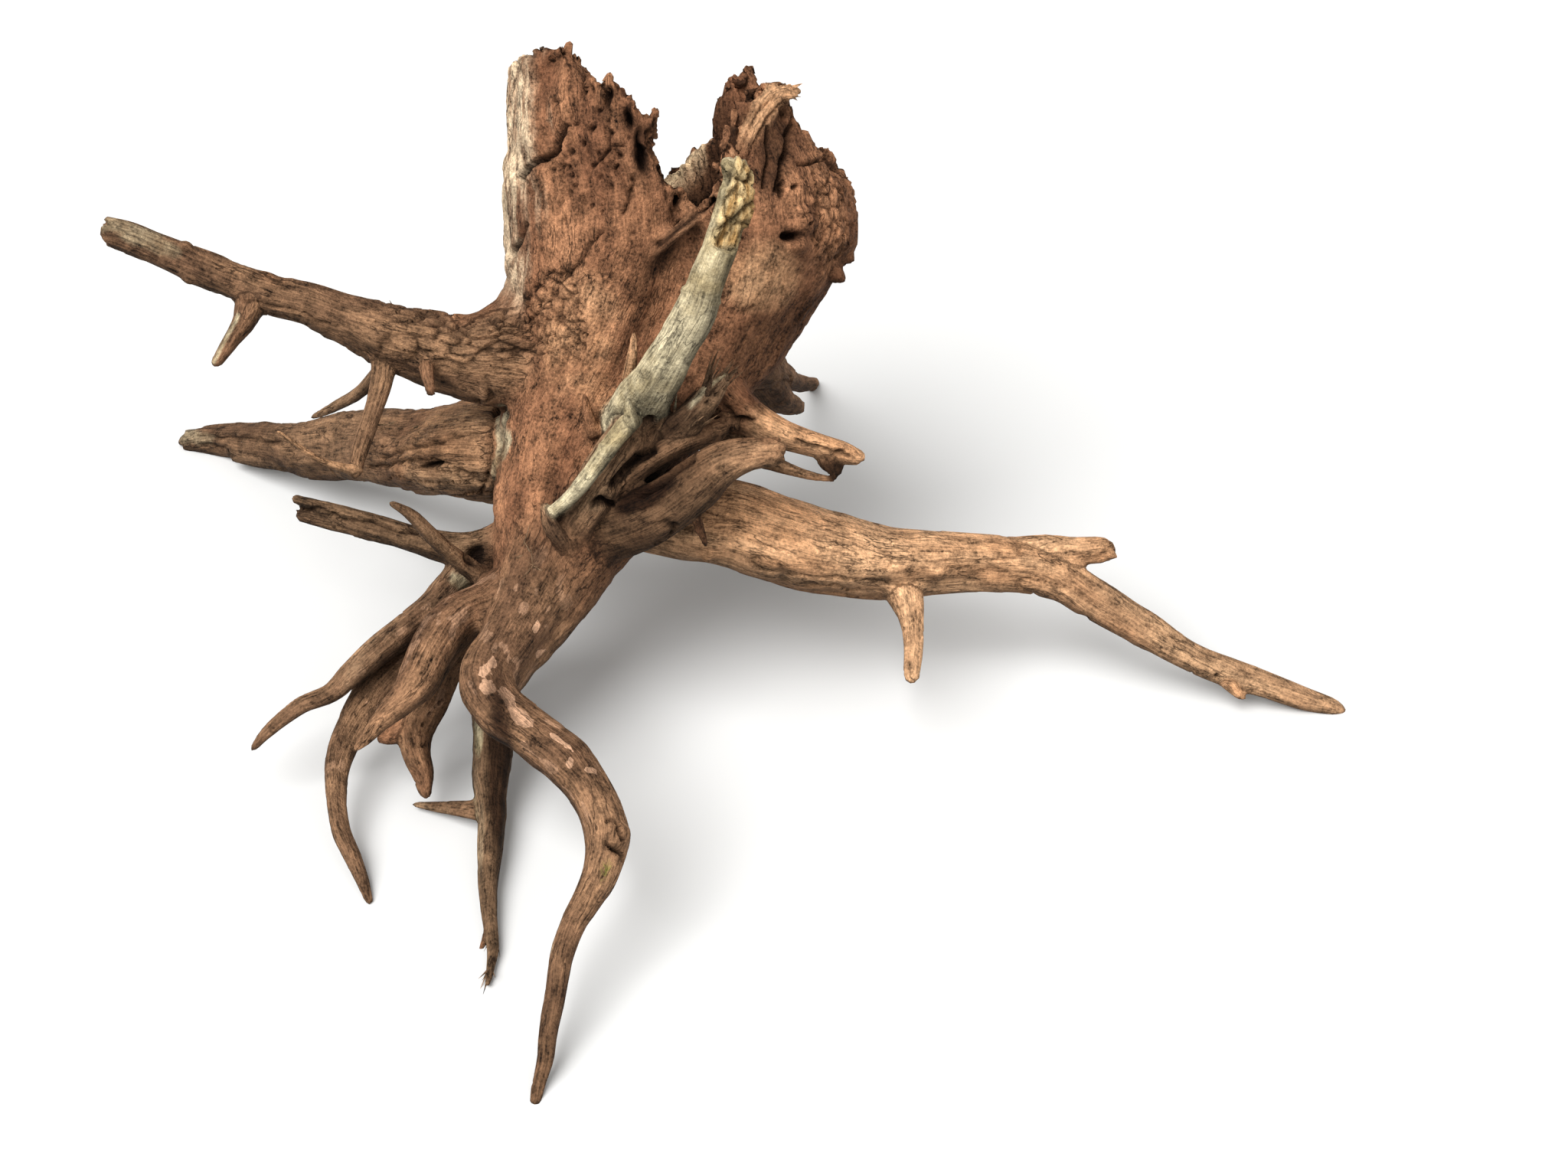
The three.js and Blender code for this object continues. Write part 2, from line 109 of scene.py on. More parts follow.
# %% Cell noise, layered noise and pits
MIX_A = 374761393
MIX_B = 668265263
MIX_C = 1440662683
MIX_D = 1274126177
WORD = 0xFFFFFFFF
KEPT_BITS = 0xFFFFFF
FURTHEST = 9.0


def cell_chance(cells, seed):
    """One steady number from 0 to 1 for each row of whole numbers."""
    mixed = (cells[..., 0] * MIX_A + cells[..., 1] * MIX_B + cells[..., 2] * MIX_C + seed * MIX_D) & WORD
    mixed = ((mixed ^ (mixed >> 13)) * MIX_D) & WORD
    mixed = ((mixed ^ (mixed >> 15)) * MIX_A) & WORD
    return ((mixed ^ (mixed >> 16)) & KEPT_BITS) / KEPT_BITS


def noise(places, seed):
    """Smooth noise from -1 to 1 with features about one unit across."""
    low = np.floor(places).astype(np.int64)
    share = places - low
    share = share * share * share * (share * (share * 6 - 15) + 10)
    total = np.zeros(len(places))
    for corner in np.ndindex(2, 2, 2):
        weight = np.prod(np.where(np.array(corner) == 1, share, 1 - share), axis=1)
        total += weight * cell_chance(low + np.array(corner), seed)
    return total * 2 - 1


def layered(places, seed, layers=3):
    """Noise with finer and fainter noise on top."""
    return sum(noise(places * 2**k, seed + k) / 2**k for k in range(layers)) / (2 - 2 ** (1 - layers))


def ease(value, low, high):
    """0 below low, 1 above high, and smooth between; high may be the lower one."""
    share = np.clip((value - low) / (high - low), 0, 1)
    return share * share * (3 - 2 * share)


def seeds_nearby(places, seed):
    """Cells round each place, one at a time, and the distance to the point scattered in each."""
    low = np.floor(places).astype(np.int64)
    for step in np.ndindex(3, 3, 3):
        cells = low + np.array(step) - 1
        spot = np.stack([cell_chance(cells, seed + axis) for axis in range(3)], axis=1)
        yield cells, np.linalg.norm(cells + spot - places, axis=1)


def nearest_seed(places, seed, fill):
    """Distance to the nearest scattered point; fill is the share of cells that hold one."""
    best = np.full(len(places), FURTHEST)
    for cells, away in seeds_nearby(places, seed):
        held = cell_chance(cells, seed + 3) < fill
        best = np.where(held, np.minimum(best, away), best)
    return best


def broken_blocks(places, seed):
    """Height from 0 to 1 of the block that each place lies in, and its distance from that block's edge."""
    first = np.full(len(places), FURTHEST)
    second = first.copy()
    height = np.zeros(len(places))
    for cells, away in seeds_nearby(places, seed):
        closer = away < first
        second = np.where(closer, first, np.minimum(second, away))
        height = np.where(closer, cell_chance(cells, seed + 3), height)
        first = np.minimum(first, away)
    return height, second - first


sample = layered(np.random.default_rng(1).uniform(0, 50, (2000, 3)), 5)
print("layered noise runs from", sample.min().round(2), "to", sample.max().round(2))

# %% [markdown]
# ## The limbs' centre lines
# Each limb is a handful of points read one by one: across, up, depth and the radius as seen. Most are
# the points that the solid was lofted through, so the skin stays where the solid is. A few thin ends are a
# little thicker here or set a little aside, and the torn block below the right stub is only in this
# table.

# %% Limb table
LIMBS = {
    "left_high": [
        (-150, 152, 14, 30), (-187, 153, 6, 31), (-212, 154, 2, 26), (-237, 160, -3, 22.5),
        (-262, 166, -8, 19), (-287, 175, -13, 15.5), (-312, 184, -18, 14), (-337, 190, -22, 14),
        (-362, 201, -27, 12), (-387, 212, -31, 12.2), (-412, 223, -35, 11), (-437, 233, -39, 10),
        (-446, 235, -41, 9),
    ],
    "left_shoulder": [(-162, 222, 12, 10), (-168, 197, 10, 13), (-180, 176, 6, 15), (-208, 161, 0, 21)],
    "left_high_spur": [
        (-347, 191, -25, 12), (-352, 175, -30, 8.6), (-360, 163, -36, 6.2), (-368, 151, -41, 4.8),
        (-373, 144, -44, 3.6),
    ],
    "left_high_drop": [
        (-260, 154, -6, 9.5), (-264, 131, -10, 7.5), (-271, 109, -16, 6.5), (-278, 88, -22, 6),
        (-281, 71, -27, 4),
    ],
    "left_high_thorn": [(-278, 76, -25, 4), (-302, 83, -48, 2.6), (-332, 103, -78, 1.5)],
    "left_high_sliver": [
        (-260, 147, -2, 6), (-277, 128, 10, 4.5), (-294, 118, 24, 3.5), (-309, 111, 36, 1.6),
    ],
    "left_high_peg": [(-234, 146, -20, 5), (-232, 134, -26, 3.6), (-230, 125, -28, 2.4)],
    "left_high_scale": [(-318, 189, -24, 4), (-332, 200, -27, 3), (-341, 207, -28, 1.4)],
    "left_back": [
        (-150, 88, 50, 34), (-192, 89, 70, 36), (-212, 90, 92, 33), (-237, 89, 128, 27),
        (-262, 92, 157, 22.5), (-287, 93, 197, 18.5), (-312, 92, 226, 16), (-337, 95, 260, 13),
        (-362, 97, 288, 11), (-381, 96, 305, 10.4), (-390, 94, 311, 9.6),
    ],
    "left_back_prong": [(-300, 87, 210, 9), (-327, 84, 242, 7), (-347, 85, 262, 5.5), (-361, 88, 275, 4)],
    "left_low": [
        (-170, 30, 18, 18), (-202, 25, 20, 13), (-217, 26, 20, 11), (-237, 31, 20, 9), (-262, 38, 22, 9),
        (-289, 45, 24, 8),
    ],
    "left_low_upper_split": [(-268, 44, 20, 5.5), (-297, 52, 21, 4.6), (-322, 59, 22, 2.8)],
    "left_low_lower_split": [(-268, 38, 24, 7), (-297, 44, 26, 6.4), (-319, 49, 28, 5.2)],
    "left_low_twig": [
        (-178, -8, 6, 9), (-198, 7, -8, 7), (-216, 21, -22, 6), (-231, 35, -36, 5.5),
        (-244, 48, -48, 4.5), (-258, 56, -58, 2),
    ],
    "claw_outer": [
        (-180, 20, 22, 16), (-212, 6, 22, 13), (-230, -13, 12, 12), (-244, -25, 2, 11.5),
        (-260, -37, -6, 10.5), (-283, -57, -15, 9), (-296, -69, -17, 7), (-315, -77, -16, 5.5),
        (-336, -93, -13, 4.5), (-348, -106, -10, 2.5),
    ],
    "claw_back": [
        (-182, -6, 26, 16), (-217, -26, 26, 14), (-242, -43, 18, 13), (-264, -63, 8, 12.5),
        (-281, -88, -2, 10.5), (-290, -108, -14, 9), (-293, -131, -26, 7), (-290, -156, -39, 6.5),
        (-282, -175, -49, 6), (-275, -192, -57, 4.5), (-270, -207, -65, 2.4),
    ],
    "claw_front": [
        (-172, 4, -8, 16), (-195, -10, -22, 14.5), (-212, -20, -32, 16), (-227, -39, -42, 15.5),
        (-238, -61, -50, 15), (-250, -75, -55, 11), (-264, -88, -60, 7.5), (-273, -99, -64, 4.5),
        (-281, -107, -67, 2),
    ],
    "claw_web": [
        (-200, -22, 4, 15), (-220, -51, -4, 13), (-229, -71, -8, 13), (-240, -91, -12, 13),
        (-240, -107, -17, 10), (-235, -124, -22, 6.5), (-234, -138, -26, 3.5),
    ],
    "claw_web_spur": [(-238, -85, -12, 11), (-255, -94, -14, 8), (-266, -99, -15, 3.5)],
    "front_leg": [
        (-138, 44, 16, 28), (-146, 22, -3, 34), (-162, -11, -20, 28), (-180, -41, -45, 21.5),
        (-192, -63, -62, 20), (-185, -81, -76, 18.5), (-166, -96, -88, 17), (-140, -116, -104, 17.5),
        (-124, -139, -115, 15), (-116, -162, -126, 15), (-120, -184, -134, 12), (-128, -202, -141, 9.8),
        (-138, -220, -147, 8.4), (-145, -241, -154, 7), (-149, -266, -161, 6), (-154, -291, -167, 5.5),
        (-156, -309, -171, 5), (-160, -324, -174, 4.3), (-163, -340, -178, 3.4),
    ],
    "second_leg": [
        (-178, -4, 12, 17), (-197, -46, 16, 13), (-193, -81, 8, 12.5), (-191, -104, -2, 12.5),
        (-192, -126, -14, 12), (-191, -151, -32, 9.5), (-192, -171, -48, 8), (-193, -196, -67, 6.3),
        (-192, -216, -83, 5), (-190, -236, -98, 3.8), (-192, -250, -109, 2.8), (-194, -261, -118, 1.8),
    ],
    "second_leg_thorn": [
        (-192, -147, -24, 7.5), (-206, -145, -20, 6), (-227, -143, -10, 3.6), (-243, -141, -4, 1.5),
    ],
    "second_leg_splinter": [(-192, -218, -86, 3), (-200, -245, -92, 1.4)],
    "right_arm": [
        (-125, 52, 6, 26), (-87, 48, 8, 25), (-62, 44, 12, 28.5), (-37, 41, 17, 31.5), (-12, 33, 22, 32),
        (13, 26, 27, 30.5), (38, 21, 32, 28), (63, 17, 36, 24.5), (88, 17, 40, 21), (113, 17, 44, 19),
        (138, 16, 47, 18), (163, 13, 50, 16.5), (183, 5, 52, 13.5), (198, -5, 54, 12.5),
        (223, -20, 57, 11.3), (263, -44, 62, 9.5), (288, -55, 65, 9.5), (313, -63, 67, 8.5),
        (338, -72, 70, 8), (358, -78, 72, 6), (367, -81, 73, 3.2),
    ],
    "right_arm_stub": [
        (146, 20, 48, 13), (168, 24, 49, 11), (188, 24, 48, 9.2), (208, 25, 46, 8), (217, 23, 45, 4.5),
    ],
    "right_arm_drop": [
        (67, 20, 38, 17), (78, -4, 31, 11), (83, -23, 24, 7.2), (84, -41, 16, 5.8), (83, -56, 9, 4.8),
        (83, -62, 6, 4),
    ],
    "right_arm_chip": [(289, -60, 62, 6), (297, -69, 61, 3.6), (302, -73, 61, 1.6)],
    "pale_root": [
        (-110, 96, 5, 20), (-97, 110, -34, 18), (-92, 122, -52, 16), (-82, 138, -72, 14),
        (-67, 163, -92, 12.2), (-56, 184, -108, 12), (-49, 204, -121, 11.5), (-43, 219, -128, 11.2),
        (-37, 235, -134, 11.6), (-31, 254, -140, 11.6), (-29, 270, -146, 9.5), (-31, 281, -149, 6),
    ],
    "pale_root_foot": [
        (-146, 28, -18, 16), (-129, 56, -38, 14.5), (-112, 81, -46, 14), (-94, 108, -48, 16),
    ],
    "pale_runner": [
        (-151, 50, -46, 4.8), (-141, 58, -56, 5.2), (-132, 68, -64, 5.6), (-123, 80, -69, 6),
        (-113, 94, -72, 6.4), (-104, 105, -73, 7), (-96, 112, -66, 7),
    ],
    "pale_runner_spur": [(-99, 108, -76, 5), (-101, 116, -82, 4), (-102, 125, -86, 1.6)],
    "pale_runner_sliver": [(-157, 55, -46, 2.6), (-152, 40, -46, 5), (-140, 24, -34, 4.5)],
    "frayed_stub": [
        (-92, 80, -20, 15), (-74, 99, -44, 11), (-60, 113, -56, 9), (-48, 127, -64, 7.2),
        (-37, 140, -71, 4),
    ],
    "ridge": [
        (-126, 54, -28, 10), (-97, 76, -46, 8), (-77, 89, -50, 8), (-62, 96, -48, 8),
        (-38, 105, -26, 10),
    ],
    "right_hook": [
        (-124, 36, -10, 21), (-97, 44, -34, 18), (-77, 53, -47, 16.5), (-57, 67, -58, 15.5),
        (-39, 81, -64, 13), (-22, 87, -67, 10.5), (-7, 89, -68, 8.5), (-1, 89, -68, 7.2),
    ],
    "right_hook_splinter": [(-61, 57, -54, 4), (-56, 42, -52, 3), (-50, 25, -50, 1.3)],
    "right_stub": [
        (-58, 142, 0, 27), (-37, 122, -14, 18), (-19, 109, -20, 13), (-2, 101, -22, 10.6),
        (13, 96, -23, 9), (38, 89, -25, 7.3), (53, 84, -26, 3.4),
    ],
    "right_stub_strip": [
        (-44, 98, 4, 12), (-8, 82, -1, 4.8), (8, 76, -6, 3.2), (22, 72.5, -11, 2.6),
        (35, 70.5, -15, 1.5),
    ],
    "right_stub_block": [
        (30.5, 86, -22, 8.2), (32, 81, -20, 6.4), (33.5, 76, -18, 4.2), (34, 70.5, -15, 1.8),
    ],
    "right_back": [
        (-40, 168, 44, 34), (-20, 150, 95, 20), (-8, 142, 150, 12), (1, 137, 220, 7.5),
        (11, 134, 300, 5.5), (20, 133, 376, 4),
    ],
    "right_back_prong": [(-16, 140, 105, 14), (-4, 124, 160, 9), (4, 120, 205, 6.8), (11, 117, 240, 4)],
    "trunk_blade": [(-102, 134, -38, 5), (-99, 152, -52, 4), (-98, 169, -56, 2)],
    "trunk_lamella": [(-86, 219, -50, 5), (-66, 236, -60, 4.5), (-47, 252, -48, 6)],
    "rim_left_splinter": [(-100, 284, -64, 12), (-89, 303, -66, 9), (-82, 313, -66, 3.5)],
    "rim_right_blade": [
        (-42, 258, -62, 5), (-31, 287, -66, 7.5), (-20, 307, -62, 9.5), (-11, 320, -56, 9),
        (1, 325, -50, 6.5), (11, 324, -46, 3),
    ],
    "trunk_spike": [(-124, 100, -32, 5), (-131, 127, -48, 1.4)],
    "trunk_right_spur": [(8, 222, 4, 16), (28, 210, -2, 10), (40, 200, -6, 2.5)],
    "trunk_right_burr": [(16, 226, 6, 20), (36, 219, 4, 11), (45, 212, 2, 4)],
}
print(len(LIMBS), "limbs")

# %% [markdown]
# ## A line through each limb's points
# A root bends smoothly, so a curve is passed through its points and cut into even steps. A Blender curve
# could do the same, but the skin and the paint need the distance along the limb at every step, so it is
# worked out here. A pair of directions is carried along without twisting, and later it tells which way
# the grain runs.

# %% Smooth lines through the limb points
LINE_STEP = 3.0
POINTS_PER_SPAN = 20


def spline(points):
    """A smooth curve through the points, and how many points lie behind each place on it."""
    padded = np.vstack([2 * points[0] - points[1], points, 2 * points[-1] - points[-2]])
    share = np.linspace(0, 1, POINTS_PER_SPAN, endpoint=False)[:, None]
    spans = []
    places = []
    for i in range(1, len(padded) - 2):
        p0, p1, p2, p3 = padded[i - 1 : i + 3]
        t0, t1, t2 = (math.sqrt(np.linalg.norm(b - a)) for a, b in ((p0, p1), (p1, p2), (p2, p3)))
        leave = ((p1 - p0) / t0 - (p2 - p0) / (t0 + t1) + (p2 - p1) / t1) * t1
        arrive = ((p2 - p1) / t1 - (p3 - p1) / (t1 + t2) + (p3 - p2) / t2) * t1
        spans.append(
            p1
            + leave * share
            + (3 * (p2 - p1) - 2 * leave - arrive) * share**2
            + (2 * (p1 - p2) + leave + arrive) * share**3
        )
        places.append(i - 1 + share[:, 0])
    return np.vstack(spans + [points[-1:]]), np.concatenate(places + [[len(points) - 1]])


def unit(vectors):
    """The same directions, each one long."""
    return vectors / np.maximum(np.linalg.norm(vectors, axis=-1, keepdims=True), 1e-9)


def limb_line(rows):
    """Even points along a limb with their radius, distance from the start, and steady cross directions."""
    across, up, depth, seen = np.array(rows, float).T
    curve, place = spline(from_sight(across, up, depth))
    run = np.concatenate([[0], np.cumsum(np.linalg.norm(np.diff(curve, axis=0), axis=1))])
    along = np.linspace(0, run[-1], max(4, int(run[-1] / LINE_STEP) + 1))
    points = np.stack([np.interp(along, run, curve[:, axis]) for axis in range(3)], axis=1)
    radius = np.interp(np.interp(along, run, place), np.arange(len(rows)), seen * nearness(depth))
    tangent = unit(np.gradient(points, axis=0))
    side = np.zeros_like(points)
    carried = np.cross(tangent[0], VIEW_AWAY)
    for i, direction in enumerate(tangent):
        carried = unit(carried - direction * (carried @ direction))
        side[i] = carried
    return {
        "points": points, "radius": radius, "along": along,
        "tangent": tangent, "side": side, "cross": np.cross(tangent, side),
    }


LINES = {name: limb_line(rows) for name, rows in LIMBS.items()}
print("limbs run", round(sum(line["along"][-1] for line in LINES.values()) * MM, 2), "m in all")

# %% [markdown]
# ## Limbs as closed tubes
# A limb could be a Blender curve with a bevel, but a bevel is round everywhere. Real roots are oval and
# softly fluted, so each ring is placed by hand: its radius varies round the limb and the flutes turn
# slowly along it. Root tips are drawn in to a round end, and the broken ends stay blunt.

# %% Loft the limbs
OVAL = 0.09
LOBES = 0.06
TWIST_PER_MM = 0.006
SIDES_PER_MM = 2
FEWEST_SIDES = 14
MOST_SIDES = 48
# Length of the round end, in radii, of a broken limb and of a root tip, and how much of it is drawn in
BLUNT_TIP = 0.35
DRAWN_TIP = 1.6
DRAWN_IN = 0.97
# Width and depth of the flat limbs, in radii
PLATE_LIKE = {"rim_right_blade": (1.35, 0.6), "right_stub_block": (1.25, 0.55)}
BLUNT = {
    "right_arm_stub", "right_arm_drop", "right_hook", "right_stub", "left_high", "left_low_lower_split",
    "left_back", "left_back_prong", "pale_root", "frayed_stub",
}
BREAK_LEDGE_UP = 224.0
BREAK_TURN = math.radians(22)
SPLIT_FACE = unit(math.cos(BREAK_TURN) * -VIEW_AWAY + math.sin(BREAK_TURN) * VIEW_RIGHT)
SPLIT_STANDS = 1.0
SPLIT_ROUGH = 1.6
SPLIT_GRAIN = np.array([0.3, 0.3, 0.06])


def grid_faces(rings, sides):
    """Quads of a tube, and a fan at each end to the two last vertices."""
    ring, side = np.meshgrid(np.arange(rings - 1), np.arange(sides), indexing="ij")
    here = ring * sides + side
    over = ring * sides + (side + 1) % sides
    quads = np.stack([here, over, over + sides, here + sides], axis=-1).reshape(-1, 4).tolist()
    last = (rings - 1) * sides
    start = rings * sides
    end = start + 1
    fans = [(start, (k + 1) % sides, k) for k in range(sides)]
    fans += [(end, last + k, last + (k + 1) % sides) for k in range(sides)]
    return quads + fans


def split_tip(line, ring_points):
    """The pale root's near half is split away above a ledge: what stands proud is pressed back."""
    up = to_sight(line["points"])[1]
    torn = noise(ring_points.reshape(-1, 3) * SPLIT_GRAIN, 71).reshape(ring_points.shape[:2])
    limit = SPLIT_STANDS + SPLIT_ROUGH * torn
    proud = np.maximum((ring_points - line["points"][:, None]) @ SPLIT_FACE - limit, 0)
    proud[up < BREAK_LEDGE_UP] = 0
    return ring_points - proud[..., None] * SPLIT_FACE


def limb_shell(name, order):
    """Vertices and faces of one limb; order sets where its flutes start."""
    line = LINES[name]
    sides = int(np.clip(line["radius"].max() * SIDES_PER_MM, FEWEST_SIDES, MOST_SIDES))
    angle = np.linspace(0, 2 * math.pi, sides, endpoint=False)
    turn = angle + line["along"][:, None] * TWIST_PER_MM + order
    tip = line["radius"][-1] * (BLUNT_TIP if name in BLUNT else DRAWN_TIP)
    left = np.clip((line["along"] - line["along"][-1] + tip) / tip, 0, DRAWN_IN)
    round_end = np.sqrt(1 - left**2)
    uneven = 1 + OVAL * np.cos(2 * turn) + LOBES * np.cos(3 * turn + order)
    radius = (line["radius"] * round_end)[:, None] * uneven
    wide, deep = PLATE_LIKE.get(name, (1.0, 1.0))
    ring_points = (
        line["points"][:, None]
        + wide * (radius * np.cos(angle))[..., None] * line["side"][:, None]
        + deep * (radius * np.sin(angle))[..., None] * line["cross"][:, None]
    )
    if name == "pale_root":
        ring_points = split_tip(line, ring_points)
    vertices = np.vstack([ring_points.reshape(-1, 3), ring_points[0].mean(0), ring_points[-1].mean(0)])
    return vertices, grid_faces(len(line["points"]), sides)


shells = [limb_shell(name, order) for order, name in enumerate(LIMBS)]
print("limb tubes hold", sum(len(vertices) for vertices, _ in shells), "vertices")

# %% [markdown]
# ## The hollow trunk
# The trunk is an oval tube whose size changes with height, pinched by a valley in front, so that it shows
# two lobes. Its top is broken: the rim's height goes round in a list, with a ragged edge of
# splinters added. The wall turns over the rim and goes down inside to the hollow's floor, so that the
# whole is one closed shell.

# %% Trunk shape
# Middle across, height, middle depth, half width and half depth
TRUNK = np.array([
    (-162, -16, -4, 30, 30), (-142, 24, 6, 46, 43), (-132, 64, 16, 56, 50), (-116, 104, 22, 70, 58),
    (-93, 144, 24, 90, 66), (-79, 184, 18, 101, 74), (-67, 224, 8, 115, 80), (-70, 264, 0, 114, 80),
    (-81, 304, -6, 101, 76), (-86, 356, -12, 94, 72),
], float)
# Degrees round the trunk, from the right by the far side, and the rim's height there
RIM = np.array([
    (0, 277), (12, 272), (24, 284), (30, 304), (36, 326), (44, 343), (50, 339), (56, 329), (60, 321),
    (64, 299), (72, 293), (78, 288), (84, 281), (90, 276), (97, 270), (108, 276), (132, 300), (156, 322),
    (180, 334), (204, 345), (222, 356), (228, 355), (234, 350), (240, 332), (246, 336), (252, 337),
    (256, 327), (260, 316), (263, 284), (266, 268), (270, 263), (275, 252), (279, 250), (284, 260),
    (288, 258), (294, 270), (300, 284), (306, 300), (312, 322), (318, 330), (330, 329), (336, 306),
    (348, 292), (360, 277),
], float)
VALLEY_ANGLE = math.radians(273)
VALLEY_WIDTH = math.radians(17)
VALLEY_DEPTH = 0.36
VALLEY_MIDDLE = 195.0
VALLEY_REACH = 85.0
BACK_FLAT = 0.1
HOLLOW_FLOOR = 168.0
HOLLOW_TOP = 372.0
HOLLOW_WALL = 19.0
HOLLOW_FOOT_SHARE = 0.45
TRUNK_SIDES = 260
TRUNK_RINGS = 96
HOLLOW_RINGS = 50
# Rings are level up to this height, with this share of them, and then follow the rim
EVEN_TOP = 240.0
EVEN_SHARE = 0.72
# The rim's teeth, which the far rim mostly lacks, and the drop from the rim to the inner lip
RAGGED = 5.0
FINE_TEETH = 0.8
FAR_RIM_ANGLE = 82.0
FAR_RIM_HALF = 20.0
FAR_RIM_PLAIN = 0.85
LIP_DROP = 7
LIP_ROUGH = 5


def trunk_at(up):
    """Centre across, depth, half width and half depth of the trunk at a height on the sight plane."""
    return tuple(np.interp(up, TRUNK[:, 1], TRUNK[:, column]) for column in (0, 2, 3, 4))


def lobed_share(angle, up):
    """Two lobes with a valley between them, and a flatter back."""
    off = np.arctan2(np.sin(angle - VALLEY_ANGLE), np.cos(angle - VALLEY_ANGLE))
    valley = np.exp(-((off / VALLEY_WIDTH) ** 2)) * np.exp(-(((up - VALLEY_MIDDLE) / VALLEY_REACH) ** 2))
    return 1 - VALLEY_DEPTH * valley - BACK_FLAT * np.maximum(0, np.sin(angle)) ** 2


def hollow_share(up):
    """How wide the hollow is at a height, as a share of the trunk."""
    share = np.clip((up - HOLLOW_FLOOR) / (HOLLOW_TOP - HOLLOW_FLOOR), 0, 1)
    wall = 1 - HOLLOW_WALL / trunk_at(up)[2]
    return wall * (HOLLOW_FOOT_SHARE + (1 - HOLLOW_FOOT_SHARE) * np.sqrt(share))


def trunk_points(angle, up, reach):
    """Points round the trunk; a reach of 1 lies on its outside."""
    across, depth, half_width, half_depth = trunk_at(up)
    reach = reach * lobed_share(angle, up)
    across = across + reach * half_width * np.cos(angle)
    depth = depth + reach * half_depth * np.sin(angle)
    return from_sight(across, up, depth)


def trunk_shell():
    """Vertices and faces of the trunk: up the outside, over the rim and down to the hollow's floor."""
    angle = np.linspace(0, 2 * math.pi, TRUNK_SIDES, endpoint=False)
    around = np.stack([np.cos(angle), np.sin(angle), 0 * angle], axis=1)
    rim = np.interp(np.degrees(angle), RIM[:, 0], RIM[:, 1])
    far = np.exp(-(((np.degrees(angle) - FAR_RIM_ANGLE) / FAR_RIM_HALF) ** 2))
    ragged = RAGGED * (1 - FAR_RIM_PLAIN * far)
    rim = rim + ragged * (noise(around * 9, 31) + FINE_TEETH * noise(around * 24, 32))
    share = np.linspace(0, 1, TRUNK_RINGS)[:, None]
    level = TRUNK[0, 1] + (EVEN_TOP - TRUNK[0, 1]) * share / EVEN_SHARE
    rising = EVEN_TOP + (rim - EVEN_TOP) * (share - EVEN_SHARE) / (1 - EVEN_SHARE)
    outside = trunk_points(angle, np.where(share <= EVEN_SHARE, level, rising), 1.0)
    lip = rim - LIP_DROP - LIP_ROUGH * noise(around * 12, 33)
    down = np.linspace(0, 1, HOLLOW_RINGS)[:, None]
    up = lip + (HOLLOW_FLOOR - lip) * down
    inside = trunk_points(angle, up, hollow_share(up))
    rings = np.vstack([outside, inside])
    vertices = np.vstack([rings.reshape(-1, 3), outside[0].mean(0), inside[-1].mean(0)])
    return vertices, grid_faces(len(rings), TRUNK_SIDES)


shells.append(trunk_shell())
print("trunk shell holds", len(shells[-1][0]), "vertices")

# %% [markdown]
# ## One skin over everything
# The tubes and the trunk overlap where they meet. A Boolean could join them, but it keeps every sharp
# seam. A voxel remesh gives one even skin instead, with faces small enough for the cracks.

# %% Join and remesh
VOXEL = 1.7


def mesh_object(name, vertices, faces):
    """A new object from vertices in millimetres."""
    data = bpy.data.meshes.new(name)
    data.from_pydata((vertices * MM).tolist(), [], faces)
    data.validate()
    made = bpy.data.objects.new(name, data)
    bpy.context.scene.collection.objects.link(made)
    return made


def joined(parts):
    """Several shells as one list of vertices and one of faces."""
    vertices = []
    faces = []
    count = 0
    for points, polygons in parts:
        vertices.append(points)
        faces += [tuple(corner + count for corner in polygon) for polygon in polygons]
        count += len(points)
    return np.vstack(vertices), faces


def settled(made):
    """The object's mesh with its modifiers worked in."""
    shown = made.evaluated_get(bpy.context.evaluated_depsgraph_get())
    data = bpy.data.meshes.new_from_object(shown)
    made.modifiers.clear()
    old = made.data
    made.data = data
    bpy.data.meshes.remove(old)
    return made


wood = mesh_object("driftwood_wood", *joined(shells))
remesh = wood.modifiers.new("one_skin", "REMESH")
remesh.mode = "VOXEL"
remesh.voxel_size = VOXEL * MM
settled(wood)
print("one skin of", len(wood.data.polygons), "faces")

# %% [markdown]
# ## Crotches that flow
# Where two roots meet, the real wood runs over in a smooth web. A smoothing modifier would round the tips
# as well, so it is mostly the points in a hollow that are moved, each towards the middle of its
# neighbours. Ridges and tips move by a trace only, in the first rounds.

# %% Fill the creases where limbs meet
CREASE_ROUNDS = 16
NORMALS_EVERY = 10
FILL_SHARE = 0.5
EVEN_ROUNDS = 4
EVENING_SHARE = 0.02


def positions(data):
    """Places of a mesh's vertices, in millimetres."""
    flat = np.empty(len(data.vertices) * 3, np.float32)
    data.vertices.foreach_get("co", flat)
    return flat.reshape(-1, 3).astype(float) / MM


def place(data, points):
    """Put a mesh's vertices at places given in millimetres."""
    data.vertices.foreach_set("co", (points * MM).astype(np.float32).ravel())
    data.update()


def normals(data):
    """Directions that a mesh's vertices face."""
    flat = np.empty(len(data.vertices) * 3, np.float32)
    data.vertex_normals.foreach_get("vector", flat)
    return flat.reshape(-1, 3).astype(float)


def edge_ends(data):
    """The two vertices of every edge."""
    flat = np.empty(len(data.edges) * 2, np.int32)
    data.edges.foreach_get("vertices", flat)
    return flat.reshape(-1, 2).T


def neighbour_mean(values, ends, count):
    """Mean of each vertex's neighbours, for one number or several a vertex."""
    a, b = ends
    many = np.bincount(a, minlength=count) + np.bincount(b, minlength=count)
    columns = values.reshape(count, -1).T
    sums = [np.bincount(a, c[b], count) + np.bincount(b, c[a], count) for c in columns]
    return (np.stack(sums, axis=1) / np.maximum(many, 1)[:, None]).reshape(values.shape)


